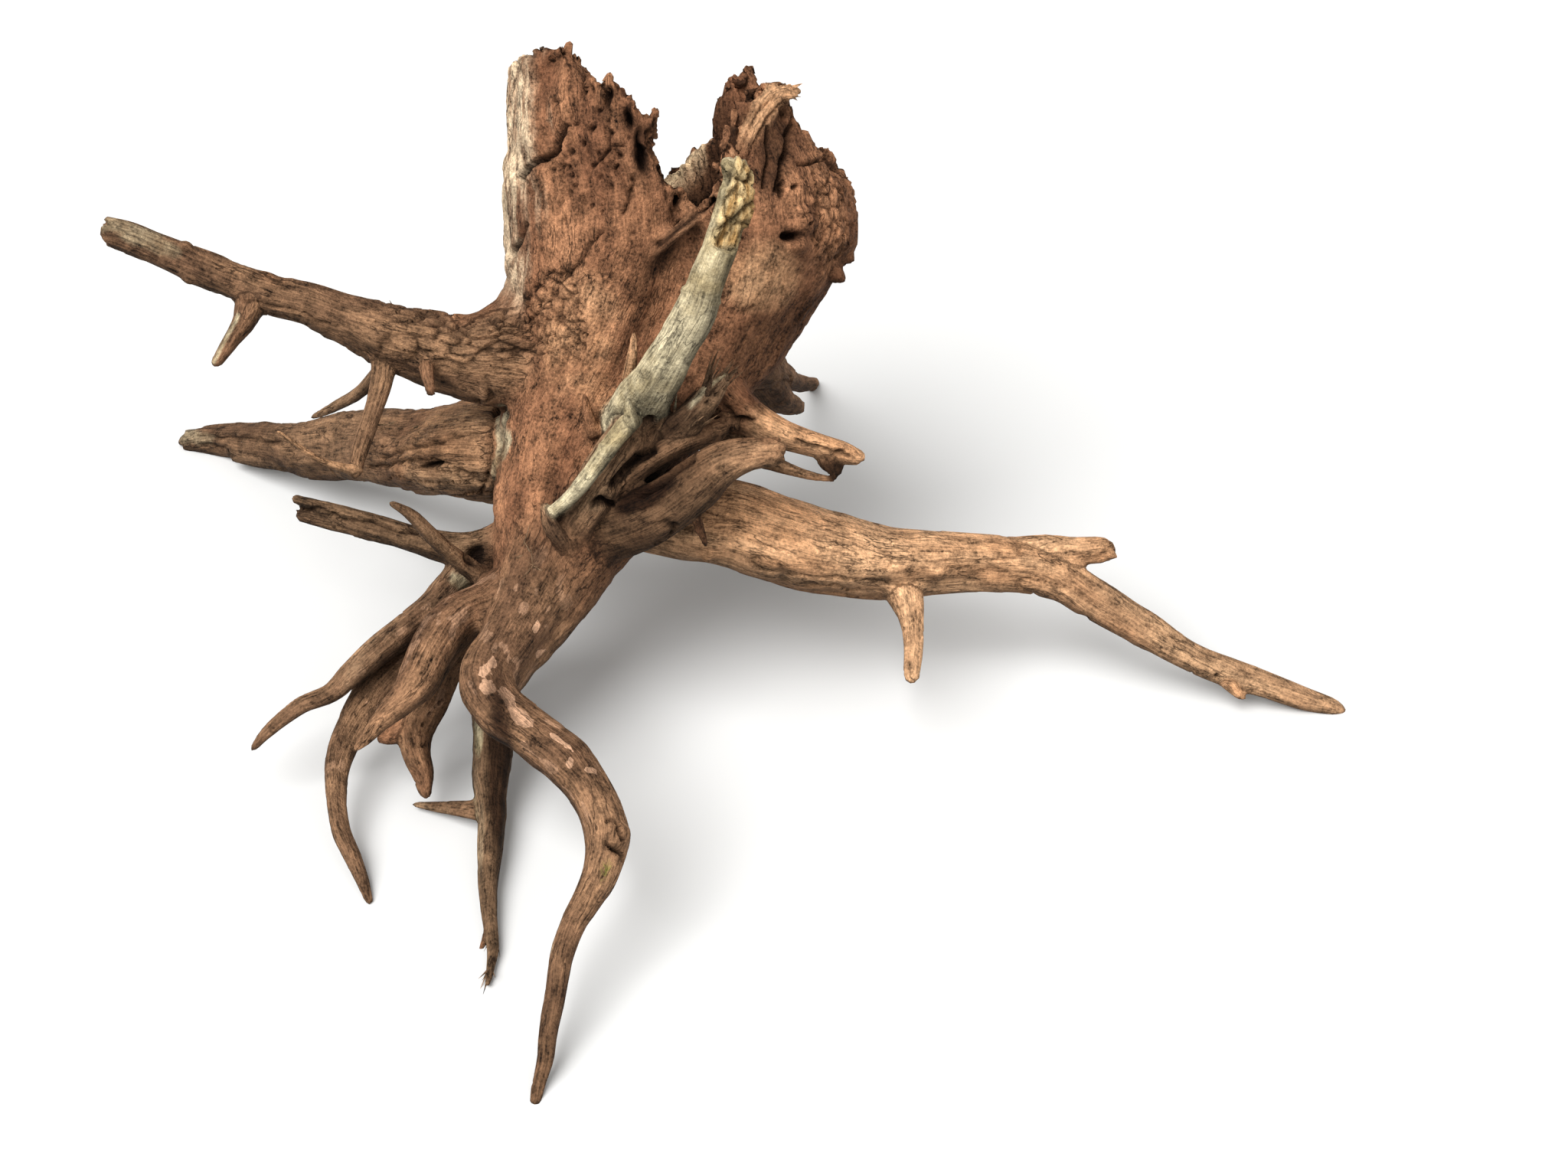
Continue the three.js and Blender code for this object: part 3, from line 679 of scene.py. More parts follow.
ends = edge_ends(wood.data)
skin = positions(wood.data)
for turn in range(CREASE_ROUNDS):
    pull = neighbour_mean(skin, ends, len(skin)) - skin
    if turn % NORMALS_EVERY == 0:
        place(wood.data, skin)
        outward = normals(wood.data)
    hollowed = np.einsum("ij,ij->i", pull, outward)
    strength = np.where(hollowed > 0, FILL_SHARE, EVENING_SHARE if turn < EVEN_ROUNDS else 0.0)
    skin = skin + pull * strength[:, None]
place(wood.data, skin)
print("creases filled over", CREASE_ROUNDS, "rounds")

# %% [markdown]
# ## Where each point of the skin belongs
# Grain runs along the limb that a point grew on. Every point is given to the limb whose surface is
# nearest, with its distance along that limb and its place in the limb's section. The trunk has its own
# run of grain, and a share says how far a point belongs to a limb and not to the trunk, so that one grain
# passes softly into the other.

# %% Nearest limb of every point
LIMB_NAMES = list(LIMBS)


def sampled(part):
    """One property of every point on every limb's line."""
    return np.concatenate([LINES[name][part] for name in LIMB_NAMES])


SAMPLES = sampled("points")
SAMPLE_RADIUS = sampled("radius")
SAMPLE_ALONG = sampled("along")
SAMPLE_SIDE = sampled("side")
SAMPLE_CROSS = sampled("cross")
SAMPLE_TANGENT = sampled("tangent")
POINTS_PER_LIMB = [len(LINES[name]["along"]) for name in LIMB_NAMES]
SAMPLE_LIMB = np.repeat(np.arange(len(LIMB_NAMES)), POINTS_PER_LIMB)
SAMPLE_LENGTH = np.repeat([LINES[name]["along"][-1] for name in LIMB_NAMES], POINTS_PER_LIMB)
# Each limb's grain is taken from a place this much further on, so that no two are alike
LIMB_SHIFT = 211.0
BATCH = 6000
# Distances, in millimetres, over which the trunk's grain gives way to a limb's
TRUNK_ENDS = -10
LIMB_STARTS = 12
# In the hollow: this share of the trunk in from its outside, and at most this far below the floor of it
INNER_SHARE = 0.09
BELOW_FLOOR = 5


def grown_from(points):
    """For each point: its limb, its place in both grains, the radius there and how far it is the limb's."""
    nearest = np.empty(len(points), np.int64)
    gap = np.empty(len(points))
    squares = (SAMPLES**2).sum(1)
    for start in range(0, len(points), BATCH):
        some = points[start : start + BATCH]
        far = (some**2).sum(1)[:, None] + squares - 2 * some @ SAMPLES.T
        away = np.sqrt(np.maximum(far, 0)) - SAMPLE_RADIUS
        nearest[start : start + BATCH] = away.argmin(1)
        gap[start : start + BATCH] = away.min(1)
    off = points - SAMPLES[nearest]
    along = SAMPLE_ALONG[nearest] + np.einsum("ij,ij->i", off, SAMPLE_TANGENT[nearest])
    limb = SAMPLE_LIMB[nearest]
    limb_grain = np.stack([
        np.einsum("ij,ij->i", off, SAMPLE_SIDE[nearest]),
        np.einsum("ij,ij->i", off, SAMPLE_CROSS[nearest]),
        along + limb * LIMB_SHIFT,
    ], axis=1)
    across, up, depth = to_sight(points)
    centre, middle, half_width, half_depth = trunk_at(up)
    reach = np.hypot((across - centre) / half_width, (depth - middle) / half_depth)
    shape = lobed_share(np.arctan2((depth - middle) / half_depth, (across - centre) / half_width), up)
    trunk_gap = np.maximum((reach - shape) * np.minimum(half_width, half_depth), TRUNK[0, 1] - up)
    trunk_grain = np.stack([across - centre, depth - middle, up * 1.0], axis=1)
    return {
        "limb": limb,
        "limb_grain": limb_grain,
        "trunk_grain": trunk_grain,
        "radius": SAMPLE_RADIUS[nearest],
        "tip": along / SAMPLE_LENGTH[nearest],
        "to_end": SAMPLE_LENGTH[nearest] - along,
        "tangent": SAMPLE_TANGENT[nearest],
        "limb_share": ease(trunk_gap - gap, TRUNK_ENDS, LIMB_STARTS),
        "across": across,
        "up": up,
        "depth": depth,
        "inside": (reach < shape - INNER_SHARE) & (up > HOLLOW_FLOOR - BELOW_FLOOR),
    }


def on_limb(name):
    """Which points of the skin grew on the named limb."""
    return home["limb"] == LIMB_NAMES.index(name)


def spot_share(middle_across, middle_up, half_across, half_up, outer, inner):
    """1 in the middle of an oval on the sight plane, fading out between an inner and an outer size."""
    away = np.hypot((across - middle_across) / half_across, (up - middle_up) / half_up)
    return ease(away, outer, inner)


home = grown_from(skin)
across = home["across"]
up = home["up"]
depth = home["depth"]
print("belongs to limbs:", round(float(home["limb_share"].mean()), 2), "of the skin")

# %% [markdown]
# ## Relief: flutes, ridges, cracks and scales
# From a step away the wood reads by its relief. A displacement modifier could raise it, but it would need
# coordinates that follow every limb. Here flutes and ridges are noise drawn out along the grain, and
# cracks are where another drawn-out noise passes through zero. Each depth is kept, so that the same crack
# is also painted dark, as painted shade.

# %% Relief along the grain
# Width across the grain and length along it, in millimetres
FLUTE = (22, 170)
RIDGE = (6.5, 60)
FIBRE = (2.8, 26)
SEAM = (11, 75)
SEAM_PATCH = (26, 60)
# Heights of flutes, ridges and fibres, in millimetres
TRUNK_HEIGHTS = (2.2, 0.45, 0.3)
LIMB_HEIGHTS = (2.4, 0.9, 0.5)
LUMP_HEIGHT = 0.6
LUMP_SIZE = 6
STOUT_RADIUS = 15
# Scales: their width and length, how deep the cracks between them are, and how wide
LEFT_BRANCH_SCALES = (8, 19, 0.75, 0.13)
RIGHT_BARK_SCALES = (8, 12, 0.6, 0.12)


def stretched(grain, width, length):
    """Places in the grain, counted in features of a width and a length."""
    return grain / np.array([width, width, length])


def relief_of(grain, seed):
    """Flutes, ridges and fibres from -1 to 1, and cracks from 0 to 1, from places in the grain."""
    flutes = layered(stretched(grain, *FLUTE), seed, 2)
    ridges = layered(stretched(grain, *RIDGE), seed + 10, 2)
    fibres = noise(stretched(grain, *FIBRE), seed + 20)
    wander = grain + 4 * np.stack([noise(grain / 30, seed + 30 + axis) for axis in range(3)], axis=1)
    seam = np.abs(noise(stretched(wander, *SEAM), seed + 40))
    where = ease(noise(stretched(grain, *SEAM_PATCH), seed + 50), 0.2, 0.55)
    return flutes, ridges, fibres, ease(seam, 0.07, 0.0) * where


# How rough each limb is against plain wood; what is not listed is 1
RUGGED = {
    "right_arm": 0.55, "right_arm_stub": 0.7, "right_arm_drop": 0.7, "pale_root": 0.7,
    "pale_runner": 0.8, "pale_root_foot": 0.8, "front_leg": 0.7, "claw_front": 0.7, "claw_outer": 0.7,
    "left_back": 1.25, "left_low": 1.3, "frayed_stub": 2.4, "left_high": 1.1, "right_stub_block": 2.0,
}


def raised(heights, kinds):
    """Kinds of relief added up, each with its own height."""
    return sum(height * kind for height, kind in zip(heights, kinds))


def scale_net(where, grain, seed, width, length, deep, crack_width):
    """Cracks between scales, over the places with a share of them."""
    net = np.zeros(len(where))
    some = where > 0.05
    _, edge = broken_blocks(stretched(grain[some], width, length), seed)
    net[some] = deep * where[some] * ease(edge, crack_width, 0.03)
    return net


share = home["limb_share"]
stout = np.clip(home["radius"] / STOUT_RADIUS, 0.22, 1.0)
rugged = stout * np.array([RUGGED.get(name, 1.0) for name in LIMB_NAMES])[home["limb"]]
*trunk_kinds, trunk_cracks = relief_of(home["trunk_grain"], 100)
*limb_kinds, limb_cracks = relief_of(home["limb_grain"], 200)
trunk_relief = raised(TRUNK_HEIGHTS, trunk_kinds) + LUMP_HEIGHT * layered(skin / LUMP_SIZE, 171, 2)
limb_relief = raised(LIMB_HEIGHTS, limb_kinds) * rugged
relief = trunk_relief * (1 - share) + limb_relief * share
crack = 0.55 * trunk_cracks * (1 - share) + limb_cracks * np.clip(rugged, 0, 1) * share
scaly = np.where(on_limb("left_high"), ease(home["tip"], 0.5, 0.25) * ease(up, 140, 156), 0)
flaky = (1 - share) * spot_share(32, 246, 18, 50, 1.1, 0.6)
crack = np.maximum(crack, scale_net(scaly, home["limb_grain"], 61, *LEFT_BRANCH_SCALES))
crack = np.maximum(crack, scale_net(flaky, home["trunk_grain"], 67, *RIGHT_BARK_SCALES))
print("cracks cover", round(float((crack > 0.3).mean()), 3), "of the skin")

# %% [markdown]
# ## Marks listed one by one
# The larger cracks, holes and knobs can be told one from another on the wood, so they are listed
# on the sight plane. A Boolean for each would be slow and would leave sharp walls. Here each is a
# distance that is turned into a depth, and it counts only on the side that faces the viewer.

# %% Placed cracks, holes and knobs
# Points across and up the sight plane, half width and depth, for the side that faces the viewer
CRACKS = [
    (((-150, 319), (-147, 304), (-144, 301), (-137, 303)), 0.9, 4.0),
    (((-146, 301), (-147, 291), (-152, 284), (-162, 279), (-167, 274), (-172, 266)), 2.0, 7.0),
    (((-117, 319), (-114, 309), (-115, 299), (-113, 289)), 1.0, 4.5),
    (((-104, 291), (-112, 289), (-119, 281), (-125, 276)), 1.3, 5.0),
    (((-99, 264), (-102, 251), (-105, 244)), 0.9, 4.0),
    (((-167, 239), (-172, 226), (-175, 219)), 1.4, 5.0),
    (((-117, 234), (-127, 224), (-133, 212), (-142, 203)), 0.9, 3.5),
    (((8, 276), (18, 277), (26, 280)), 1.2, 5.0),
    (((18, 271), (20, 264)), 0.8, 3.0),
    (((5, 309), (2, 289), (0, 276), (-5, 259)), 1.8, 7.0),
    (((-82, 224), (-72, 233), (-59, 243), (-47, 253)), 2.2, 10.0),
    (((-110, 69), (-103, 77), (-94, 86), (-86, 91)), 2.8, 13.0),
    (((-92, 62), (-80, 69), (-68, 79), (-60, 84)), 2.6, 10.0),
    (((-126, 54), (-120, 57), (-113, 55)), 2.6, 9.0),
    (((-212, 178), (-192, 175), (-172, 174), (-162, 178)), 1.0, 3.5),
    (((-192, 168), (-182, 171), (-167, 169)), 1.0, 3.5),
    (((-262, 86), (-232, 94), (-192, 104)), 0.9, 3.0),
    (((-272, 79), (-232, 84), (-202, 71)), 1.1, 4.0),
    (((-384, 100), (-362, 99), (-330, 95)), 1.2, 3.0),
    (((-382, 92), (-366, 92)), 0.9, 2.0),
    (((-290, 170), (-330, 184), (-352, 190)), 0.8, 2.5),
    (((-117, -153), (-113, -151), (-110, -155), (-112, -161), (-109, -166)), 1.1, 5.0),
    (((-117, -168), (-113, -172), (-109, -174), (-105, -177)), 1.4, 6.0),
    (((-62, 16), (-32, 9), (8, 3), (48, -1)), 0.9, 3.0),
    (((-22, 34), (18, 16)), 0.7, 1.8),
    (((236, -24), (262, -38), (280, -48)), 0.7, 1.8),
    (((6, 95), (24, 91), (44, 85)), 1.1, 4.0),
    (((-318, 54), (-268, 42), (-240, 34)), 1.1, 4.5),
    (((-190, 110), (-192, 85), (-198, 60)), 0.9, 3.0),
    (((-183, 112), (-186, 85), (-191, 50)), 0.9, 3.0),
    (((9, 241), (12, 244), (16, 243)), 0.8, 2.4),
    (((19, 240), (20, 236)), 0.8, 2.4),
    (((-33, 266), (-25, 264), (-20, 269)), 1.4, 5.0),
    (((-21, 252), (-27, 247), (-32, 241)), 1.3, 5.0),
    (((-44, 233), (-41, 224), (-33, 221), (-28, 228)), 0.8, 3.0),
    (((-44, 233), (-36, 240), (-39, 252), (-32, 262)), 1.0, 4.0),
    (((-38, 228), (-32, 236), (-27, 247)), 0.9, 3.5),
    (((-41, 262), (-34, 268)), 1.2, 4.0),
    (((-38, 262), (-28, 290), (-19, 310), (-6, 322)), 0.9, 3.5),
    (((-33, 258), (-22, 286), (-12, 306), (2, 320)), 0.9, 3.5),
    (((-12, 300), (-10, 280), (-13, 262)), 1.2, 5.0),
    (((-212, 166), (-196, 163), (-182, 166), (-168, 162)), 0.9, 3.0),
    (((-250, 176), (-228, 172), (-208, 170)), 0.8, 2.5),
]
# Ragged holes: across, up, half length, half width, lean of the length from upright in degrees, and depth
HOLES = [
    (4, 230, 7.0, 3.6, 80, 12), (13.5, 238.5, 2.0, 1.4, 40, 4), (-1, 261, 8, 3.0, 12, 9),
    (-27, 111, 8.5, 2.8, 80, 10), (-93, 286, 17, 5.0, -6, 14), (-69, 253, 6, 3.0, 15, 9),
    (-119, 57, 5, 3.0, 60, 9), (-232, 80, 8, 2.8, 76, 9), (-187, 115, 5, 2.4, 55, 6),
    (-202, 21, 9, 7.0, 20, 7), (36, 88, 5, 2.6, 70, 6), (-88, 110, 5, 2.4, 60, 7),
    (-112, 262, 2.6, 2.0, 0, 4), (-120, 268, 3.0, 2.0, 40, 4), (-119, 246, 2.4, 1.8, 0, 4),
    (-147, 276, 3.0, 1.8, 60, 4), (283, -57, 3.2, 2.0, 50, 4), (-113, 297, 3.0, 2.2, 30, 5),
    (-144, 240, 2.2, 1.6, 0, 3), (-98, 232, 2.4, 1.6, 0, 3), (-115, 320, 8, 3.2, 20, 9),
    (-102, 307, 7, 3.4, -15, 10), (-130, 325, 6, 2.2, 30, 6), (-125, 300, 4, 2.4, 40, 6),
    (-133, 291, 3, 2.0, 10, 5), (-107, 283, 3, 2.2, 0, 5), (-110, 275, 3.5, 2.0, 40, 5),
    (-121, 284, 2.5, 2.0, 0, 4), (-138, 262, 3, 2.0, 60, 4), (-21, 270, 4, 2.0, 20, 5),
    (8, 262, 3.5, 2.0, 60, 5), (20, 245, 3.5, 2.0, 70, 5),
]
# Knobs: across, up, radius and height
KNOBS = [
    (13, 239, 12, 7), (9, 223.5, 7, 5), (-108, -161, 9, 5.5), (-266, 165, 9, 3), (-229, 128, 5, 2.5),
    (100, 12, 8, 3), (-340, 191, 8, 3), (-195, 125, 7, 3), (-390, 199, 7, 3.5), (-389, 226, 6, 2.5),
    (-59, 36, 4, 3), (-50, 20, 4, 3), (-41, 186, 3.5, 3), (-62, 139, 3.5, 3), (-66, 195, 3.5, 2.5),
    (-118, 92, 4, 2), (-135, 66, 4, 2), (-322, 204, 6, 2.5),
]


def away_from_line(across, up, points):
    """Distance on the sight plane from a line of straight stretches."""
    best = np.full(len(across), 1e9)
    for (x0, y0), (x1, y1) in zip(points, points[1:]):
        run = max((x1 - x0) ** 2 + (y1 - y0) ** 2, 1e-9)
        share_along = np.clip(((across - x0) * (x1 - x0) + (up - y0) * (y1 - y0)) / run, 0, 1)
        off_across = across - x0 - share_along * (x1 - x0)
        off_up = up - y0 - share_along * (y1 - y0)
        best = np.minimum(best, np.hypot(off_across, off_up))
    return best


def oval(spot_across, spot_up, half_length, half_width, lean):
    """Distance from the middle of a leaning oval on the sight plane, 1 at its ragged edge."""
    turn = math.radians(lean)
    off_across = across - spot_across + 0.5 * wobble
    off_up = up - spot_up - 0.5 * wobble
    long_way = off_up * math.cos(turn) + off_across * math.sin(turn)
    short_way = off_across * math.cos(turn) - off_up * math.sin(turn)
    return np.hypot(long_way / half_length, short_way / half_width)


outward = normals(wood.data)
facing = ease(-(outward @ VIEW_AWAY), 0.0, 0.35)
wobble = 2.2 * noise(skin / 9, 61)
placed = np.zeros(len(skin))
for points, width, deep in CRACKS:
    near = away_from_line(across + wobble, up + wobble, points)
    placed = np.maximum(placed, deep * ease(near, width * 1.5, 0.2) * facing)
for *spot, deep in HOLES:
    placed = np.maximum(placed, deep * ease(oval(*spot), 1.1, 0.35) * facing)
knobs = np.zeros(len(skin))
for spot_across, spot_up, radius, height in KNOBS:
    near = np.hypot(across - spot_across + 0.4 * wobble, up - spot_up + 0.4 * wobble) / radius
    knobs = knobs + height * ease(near, 1.15, 0.1) * facing
print(len(CRACKS), "placed cracks,", len(HOLES), "holes and", len(KNOBS), "knobs")

# %% [markdown]
# ## Rot at the top
# Worms and weather took the trunk's top apart. It has pits, blocks that fell out with clefts between
# them, and on the left a paler strip that is ribbed along the grain. Sculpting would do it once, but
# scattered seeds can be moved and made again. The same kind of blocks makes the torn tip of the pale
# root.

# %% Worm-eaten top, crumbled rim and bark plates
# Worm-eaten spots: middle across and up, half width and half height, then, counted in those halves, where
# a spot fades out and where it is full, and its strength
WORMY = [
    (-132, 278, 44, 40, 1.15, 0.5, 1.0), (-108, 298, 1, 1, 36, 14, 1.0), (36, 214, 12, 20, 1.2, 0.5, 0.6),
]
# The pale strip on the left: where its edge lies across, and how much further left it lies low down
STRIP_ACROSS = -165
STRIP_LEAN = 10
# Sizes, depths and heights in millimetres
PIT_SIZE = 7
PIT_DEEP = 4.2
BLOCK_HIGH = 9.0
BREAK_BLOCK_HIGH = 8.0
BURL_SIZE = 30
# Where the bark ends beside the fresh break: across and up, and how much further across for each step up
BARK_EDGE_ACROSS = -44.7
BARK_EDGE_UP = 233.5
BARK_EDGE_LEAN = 0.31
round_trunk = np.degrees(np.arctan2(home["trunk_grain"][:, 1], home["trunk_grain"][:, 0])) % 360
rim_here = np.interp(round_trunk, RIM[:, 0], RIM[:, 1])
on_trunk = (1 - share) * (up > 60)
# Far lip: a painted highlight where the light falls on the far rim, which is also spared the painted shade
far_lip = on_trunk * home["inside"] * ease(rim_here - up, 30, 6) * ease(depth, 0, 30) * ease(up, 296, 289)
near_rim = on_trunk * ease(rim_here - up, 32, 4) * (1 - 0.8 * far_lip)
strip_edge = STRIP_ACROSS + 9 * noise(skin / 26, 151)
strip_edge = strip_edge + 7 * noise(stretched(home["trunk_grain"], 4, 60), 152)
strip_edge = strip_edge - STRIP_LEAN * ease(up, 290, 200)
strip = on_trunk * ease(across, strip_edge + 9, strip_edge - 6) * ease(up, 165, 205)
wormy = np.zeros(len(skin))
for *spot, strength in WORMY:
    wormy = np.maximum(wormy, strength * on_trunk * spot_share(*spot))
pits = ease(nearest_seed(skin / PIT_SIZE, 90, 0.45), 0.34, 0.12) * PIT_DEEP * ease(wormy, 0.15, 0.7)
rotten = np.clip(np.maximum(0.5 * wormy, near_rim), 0, 1) * (1 - 0.7 * strip)
blocks = np.zeros(len(skin))
clefts = np.zeros(len(skin))
some = rotten > 0.05
torn_grain = home["trunk_grain"][some] + 1.5 * noise(skin[some] / 7, 93)[:, None]
height, edge = broken_blocks(stretched(torn_grain, 10, 27), 97)
blocks[some] = (height - 0.75) * BLOCK_HIGH * rotten[some]
clefts[some] = ease(edge, 0.16, 0.03) * rotten[some] * ease(noise(skin[some] / 16, 99), -0.4, 0.1)
crumble = near_rim * layered(skin / 7, 101, 3) * 1.8 * (1 - strip)
ribs = 1.5 * noise(stretched(home["trunk_grain"], 5, 70), 105)
ribs = ribs + noise(stretched(home["trunk_grain"], 2.6, 34), 106)
crumble = crumble + strip * ribs
plate_noise = layered(stretched(home["trunk_grain"], 34, 60), 111, 3) * (1 - share)
plate_noise = plate_noise + layered(stretched(home["limb_grain"], 16, 46), 121, 3) * share
plates = ease(plate_noise, 0.02, 0.1) + ease(plate_noise, 0.34, 0.4)
burls = layered(skin / BURL_SIZE, 131, 2)
fresh = ease(up, BREAK_LEDGE_UP - 3, BREAK_LEDGE_UP + 3) * on_limb("pale_root")
bark_edge = BARK_EDGE_ACROSS + BARK_EDGE_LEAN * (up - BARK_EDGE_UP)
fresh = fresh * share * ease(outward @ SPLIT_FACE, 0.0, 0.45)
fresh = fresh * ease(across + 0.4 * wobble - bark_edge, -1.2, 1.2)
broken = np.maximum(fresh, ease(up, 262, 272) * on_limb("pale_root"))
some = broken > 0.05
height, edge = broken_blocks(stretched(home["limb_grain"][some], 7, 26), 181)
blocks[some] = (height - 0.6) * BREAK_BLOCK_HIGH * broken[some]
clefts[some] = 0.6 * ease(edge, 0.1, 0.02) * broken[some]
print("worm-eaten:", round(float((pits > 1).mean()), 3), "of the skin")

# %% [markdown]
# ## Moving the skin
# Up to here the relief is only numbers. Now each point moves along its normal, out by the ridges and in
# by the cracks. The move is limited by the limb's thickness and fades out near the floor, so that thin
# tips stay whole and the feet stay flat. Blunt ends are then torn along the limb.

# %% Push the skin
CRACK_DEEP = 4.2
CLEFT_DEEP = 3.5
BURL_HIGH = 1.6
PLATE_HIGH = 0.75
FRAY_HIGH = 2.2
# Height above the floor from which the skin moves in full
FLOOR_KEEP = 14.0
# Furthest move on the trunk, and on a limb in radii
MOST_MOVE = 14.0
MOVE_PER_RADIUS = 0.6
TORN_PER_RADIUS = 0.9
# The skin may stand out of the solid's box by this much, in metres
BOX_SPARE = 0.002
tip_fray = ease(home["tip"], 0.86, 1.0) * share * np.clip(home["radius"] / 8, 0.15, 1)
fray = tip_fray * FRAY_HIGH * noise(stretched(home["limb_grain"], 2.8, 30), 141)
push = relief + knobs + crumble + fray + blocks
push = push + BURL_HIGH * burls * np.clip(stout + 1 - share, 0, 1)
push = push + PLATE_HIGH * (plates - 0.8) * rugged
grooves = CRACK_DEEP * crack + placed + pits + CLEFT_DEEP * clefts
still = ease(skin[:, 2], 0.0, FLOOR_KEEP)
limit = np.where(share > 0.5, MOVE_PER_RADIUS * home["radius"], MOST_MOVE)
move = np.clip(push - grooves, -limit, limit) * still
skin = skin + outward * move[:, None]
blunt = np.isin(home["limb"], [LIMB_NAMES.index(name) for name in BLUNT])
at_end = blunt * ease(home["to_end"], 0.9 * home["radius"], -1.0) * share
torn = 0.55 * noise(stretched(home["limb_grain"], 3.4, 40), 145)
torn = torn + 0.35 * noise(stretched(home["limb_grain"], 7, 60), 146)
skin = skin + home["tangent"] * (at_end * torn * home["radius"] * TORN_PER_RADIUS)[:, None]
skin[:, 2] = np.maximum(skin[:, 2], 0.0)
box_low = cad_low - Vector((BOX_SPARE, BOX_SPARE, 0.0))
box_high = cad_high + Vector((BOX_SPARE, BOX_SPARE, BOX_SPARE))
skin = np.clip(skin, np.array(box_low) / MM, np.array(box_high) / MM)
place(wood.data, skin)
print("skin moved from", move.min().round(1), "to", move.max().round(1), "mm")

# %% [markdown]
# ## Masks for the paint
# The paint needs to know what each point is: a crack, bleached wood, fresh wood, the dark inside. These
# are worked out once for each point and kept on the mesh as attributes, because a shader can't know which
# limb a point grew on. The tones of each limb are a short table.

# %% Tones of the limbs
# Bleached, tan, grey and peeling shares of each limb; what is not listed is plain red-brown
PLAIN_TONE = (0.0, 0.1, 0.1, 0.0)
TONES = {
    "pale_root": (1.0, 0.0, 0.0, 0.0), "pale_root_foot": (0.2, 0.0, 0.8, 0.0),
    "pale_runner": (0.85, 0.0, 0.1, 0.0), "pale_runner_spur": (0.8, 0.0, 0.1, 0.0),
    "pale_runner_sliver": (0.1, 0.0, 0.9, 0.0), "right_arm": (0.0, 0.85, 0.0, 0.1),
    "right_arm_stub": (0.1, 1.0, 0.0, 0.0), "right_arm_drop": (0.0, 0.8, 0.2, 0.0),
    "right_arm_chip": (0.0, 0.9, 0.1, 0.0), "right_hook": (0.1, 0.5, 0.4, 0.0),
    "right_stub": (0.05, 1.0, 0.0, 0.0), "right_stub_strip": (0.0, 0.7, 0.2, 0.0),
    "right_stub_block": (0.0, 0.1, 0.4, 0.0), "frayed_stub": (0.1, 0.0, 1.0, 0.0),
    "ridge": (0.0, 0.1, 0.7, 0.0), "front_leg": (0.0, 0.1, 0.7, 0.5),
    "second_leg": (0.12, 0.0, 1.0, 0.3), "second_leg_thorn": (0.3, 0.0, 0.7, 0.0),
    "claw_front": (0.05, 0.1, 0.6, 0.5), "claw_outer": (0.2, 0.0, 0.8, 0.4),
    "claw_back": (0.0, 0.0, 0.8, 0.6), "claw_web": (0.2, 0.35, 0.4, 0.6),
    "left_high": (0.0, 0.0, 0.75, 0.15), "left_high_spur": (0.05, 0.1, 0.6, 0.0),
    "left_high_drop": (0.05, 0.0, 0.8, 0.0), "left_high_sliver": (0.0, 0.0, 1.0, 0.0),
    "left_high_thorn": (0.2, 0.9, 0.1, 0.0), "left_high_peg": (0.1, 0.1, 0.5, 0.0),
    "left_back": (0.0, 0.0, 0.85, 0.15), "left_back_prong": (0.0, 0.0, 1.0, 0.0),
    "left_low": (0.0, 0.0, 1.0, 0.0), "left_low_upper_split": (0.0, 0.0, 1.0, 0.0),
    "left_low_lower_split": (0.0, 0.0, 1.0, 0.0), "left_low_twig": (0.05, 0.0, 0.9, 0.0),
    "right_back": (0.0, 0.0, 0.7, 0.0), "right_back_prong": (0.0, 0.0, 0.7, 0.0),
    "left_shoulder": (0.0, 0.2, 0.3, 0.0), "trunk_lamella": (0.0, 0.2, 0.3, 0.0),
    "rim_right_blade": (0.1, 1.0, 0.0, 0.0), "trunk_blade": (0.1, 0.6, 0.0, 0.0),
}
TONE_TABLE = np.array([TONES.get(name, PLAIN_TONE) for name in LIMB_NAMES])


def soften(values, rounds, ends):
    """Values spread among neighbours over some rounds; ends are the edges of the mesh."""
    for _ in range(rounds):
        values = 0.4 * values + 0.6 * neighbour_mean(values, ends, len(values))
    return values


bleached_and_lit, tan, grey, peeling = soften(TONE_TABLE[home["limb"]] * share[:, None], 12, ends).T
starts_late = ease(home["tip"], 0.3, 0.55)
tan = np.where(on_limb("right_stub"), tan * starts_late, tan)
outer_arm = on_limb("right_arm") * share * ease(home["tip"], 0.5, 0.66)
grey = np.maximum(grey, 0.55 * outer_arm)
base_of_back = on_limb("left_back") * share * ease(home["tip"], 0.42, 0.2)
tan = np.maximum(tan, 0.55 * base_of_back)
grey = grey * (1 - 0.6 * base_of_back)
print("tan limbs cover", round(float((tan > 0.5).mean()), 3), "of the skin")

# %% [markdown]
# ## Light and dark places
# Sun bleached some edges and bark came off in spots. Other edges are painted pale as highlights where the
# light falls, and the shade in hollows, under overhangs and behind limbs is painted dark. These could be
# painted by hand in texture paint mode, but a list of places is easier to change and needs no image.

# %% Bleached and lit edges, painted shade, fresh break, moss and peeled spots
# Pale lines, partly bleached wood and partly painted highlight on edges that face the light: limb that a
# pale line lies on (none for the trunk), its points on the sight plane, half width and strength
PALE_LINES = [
    (None, ((-187, 116), (-183, 96), (-190, 76), (-196, 56)), 4.5, 0.5),
    ("second_leg", ((-201, -36), (-200, -70), (-200, -104)), 4.5, 0.8),
    ("claw_outer", ((-214, 8), (-204, -6)), 5.0, 0.5),
    ("left_high", ((-448, 240), (-426, 232), (-398, 220)), 9.0, 0.4),
    ("left_back", ((-393, 98), (-378, 97)), 8.0, 0.35),
    ("left_high_spur", ((-357, 178), (-366, 160), (-374, 146)), 2.5, 0.5),
    ("front_leg", ((-131, -166), (-137, -196), (-145, -216), (-153, -240)), 2.0, 0.35),
    ("frayed_stub", ((-62, 117), (-50, 131), (-36, 142)), 2.2, 0.5),
    ("rim_right_blade", ((-40, 268), (-31, 292), (-22, 314), (-10, 326)), 3.0, 0.3),
]
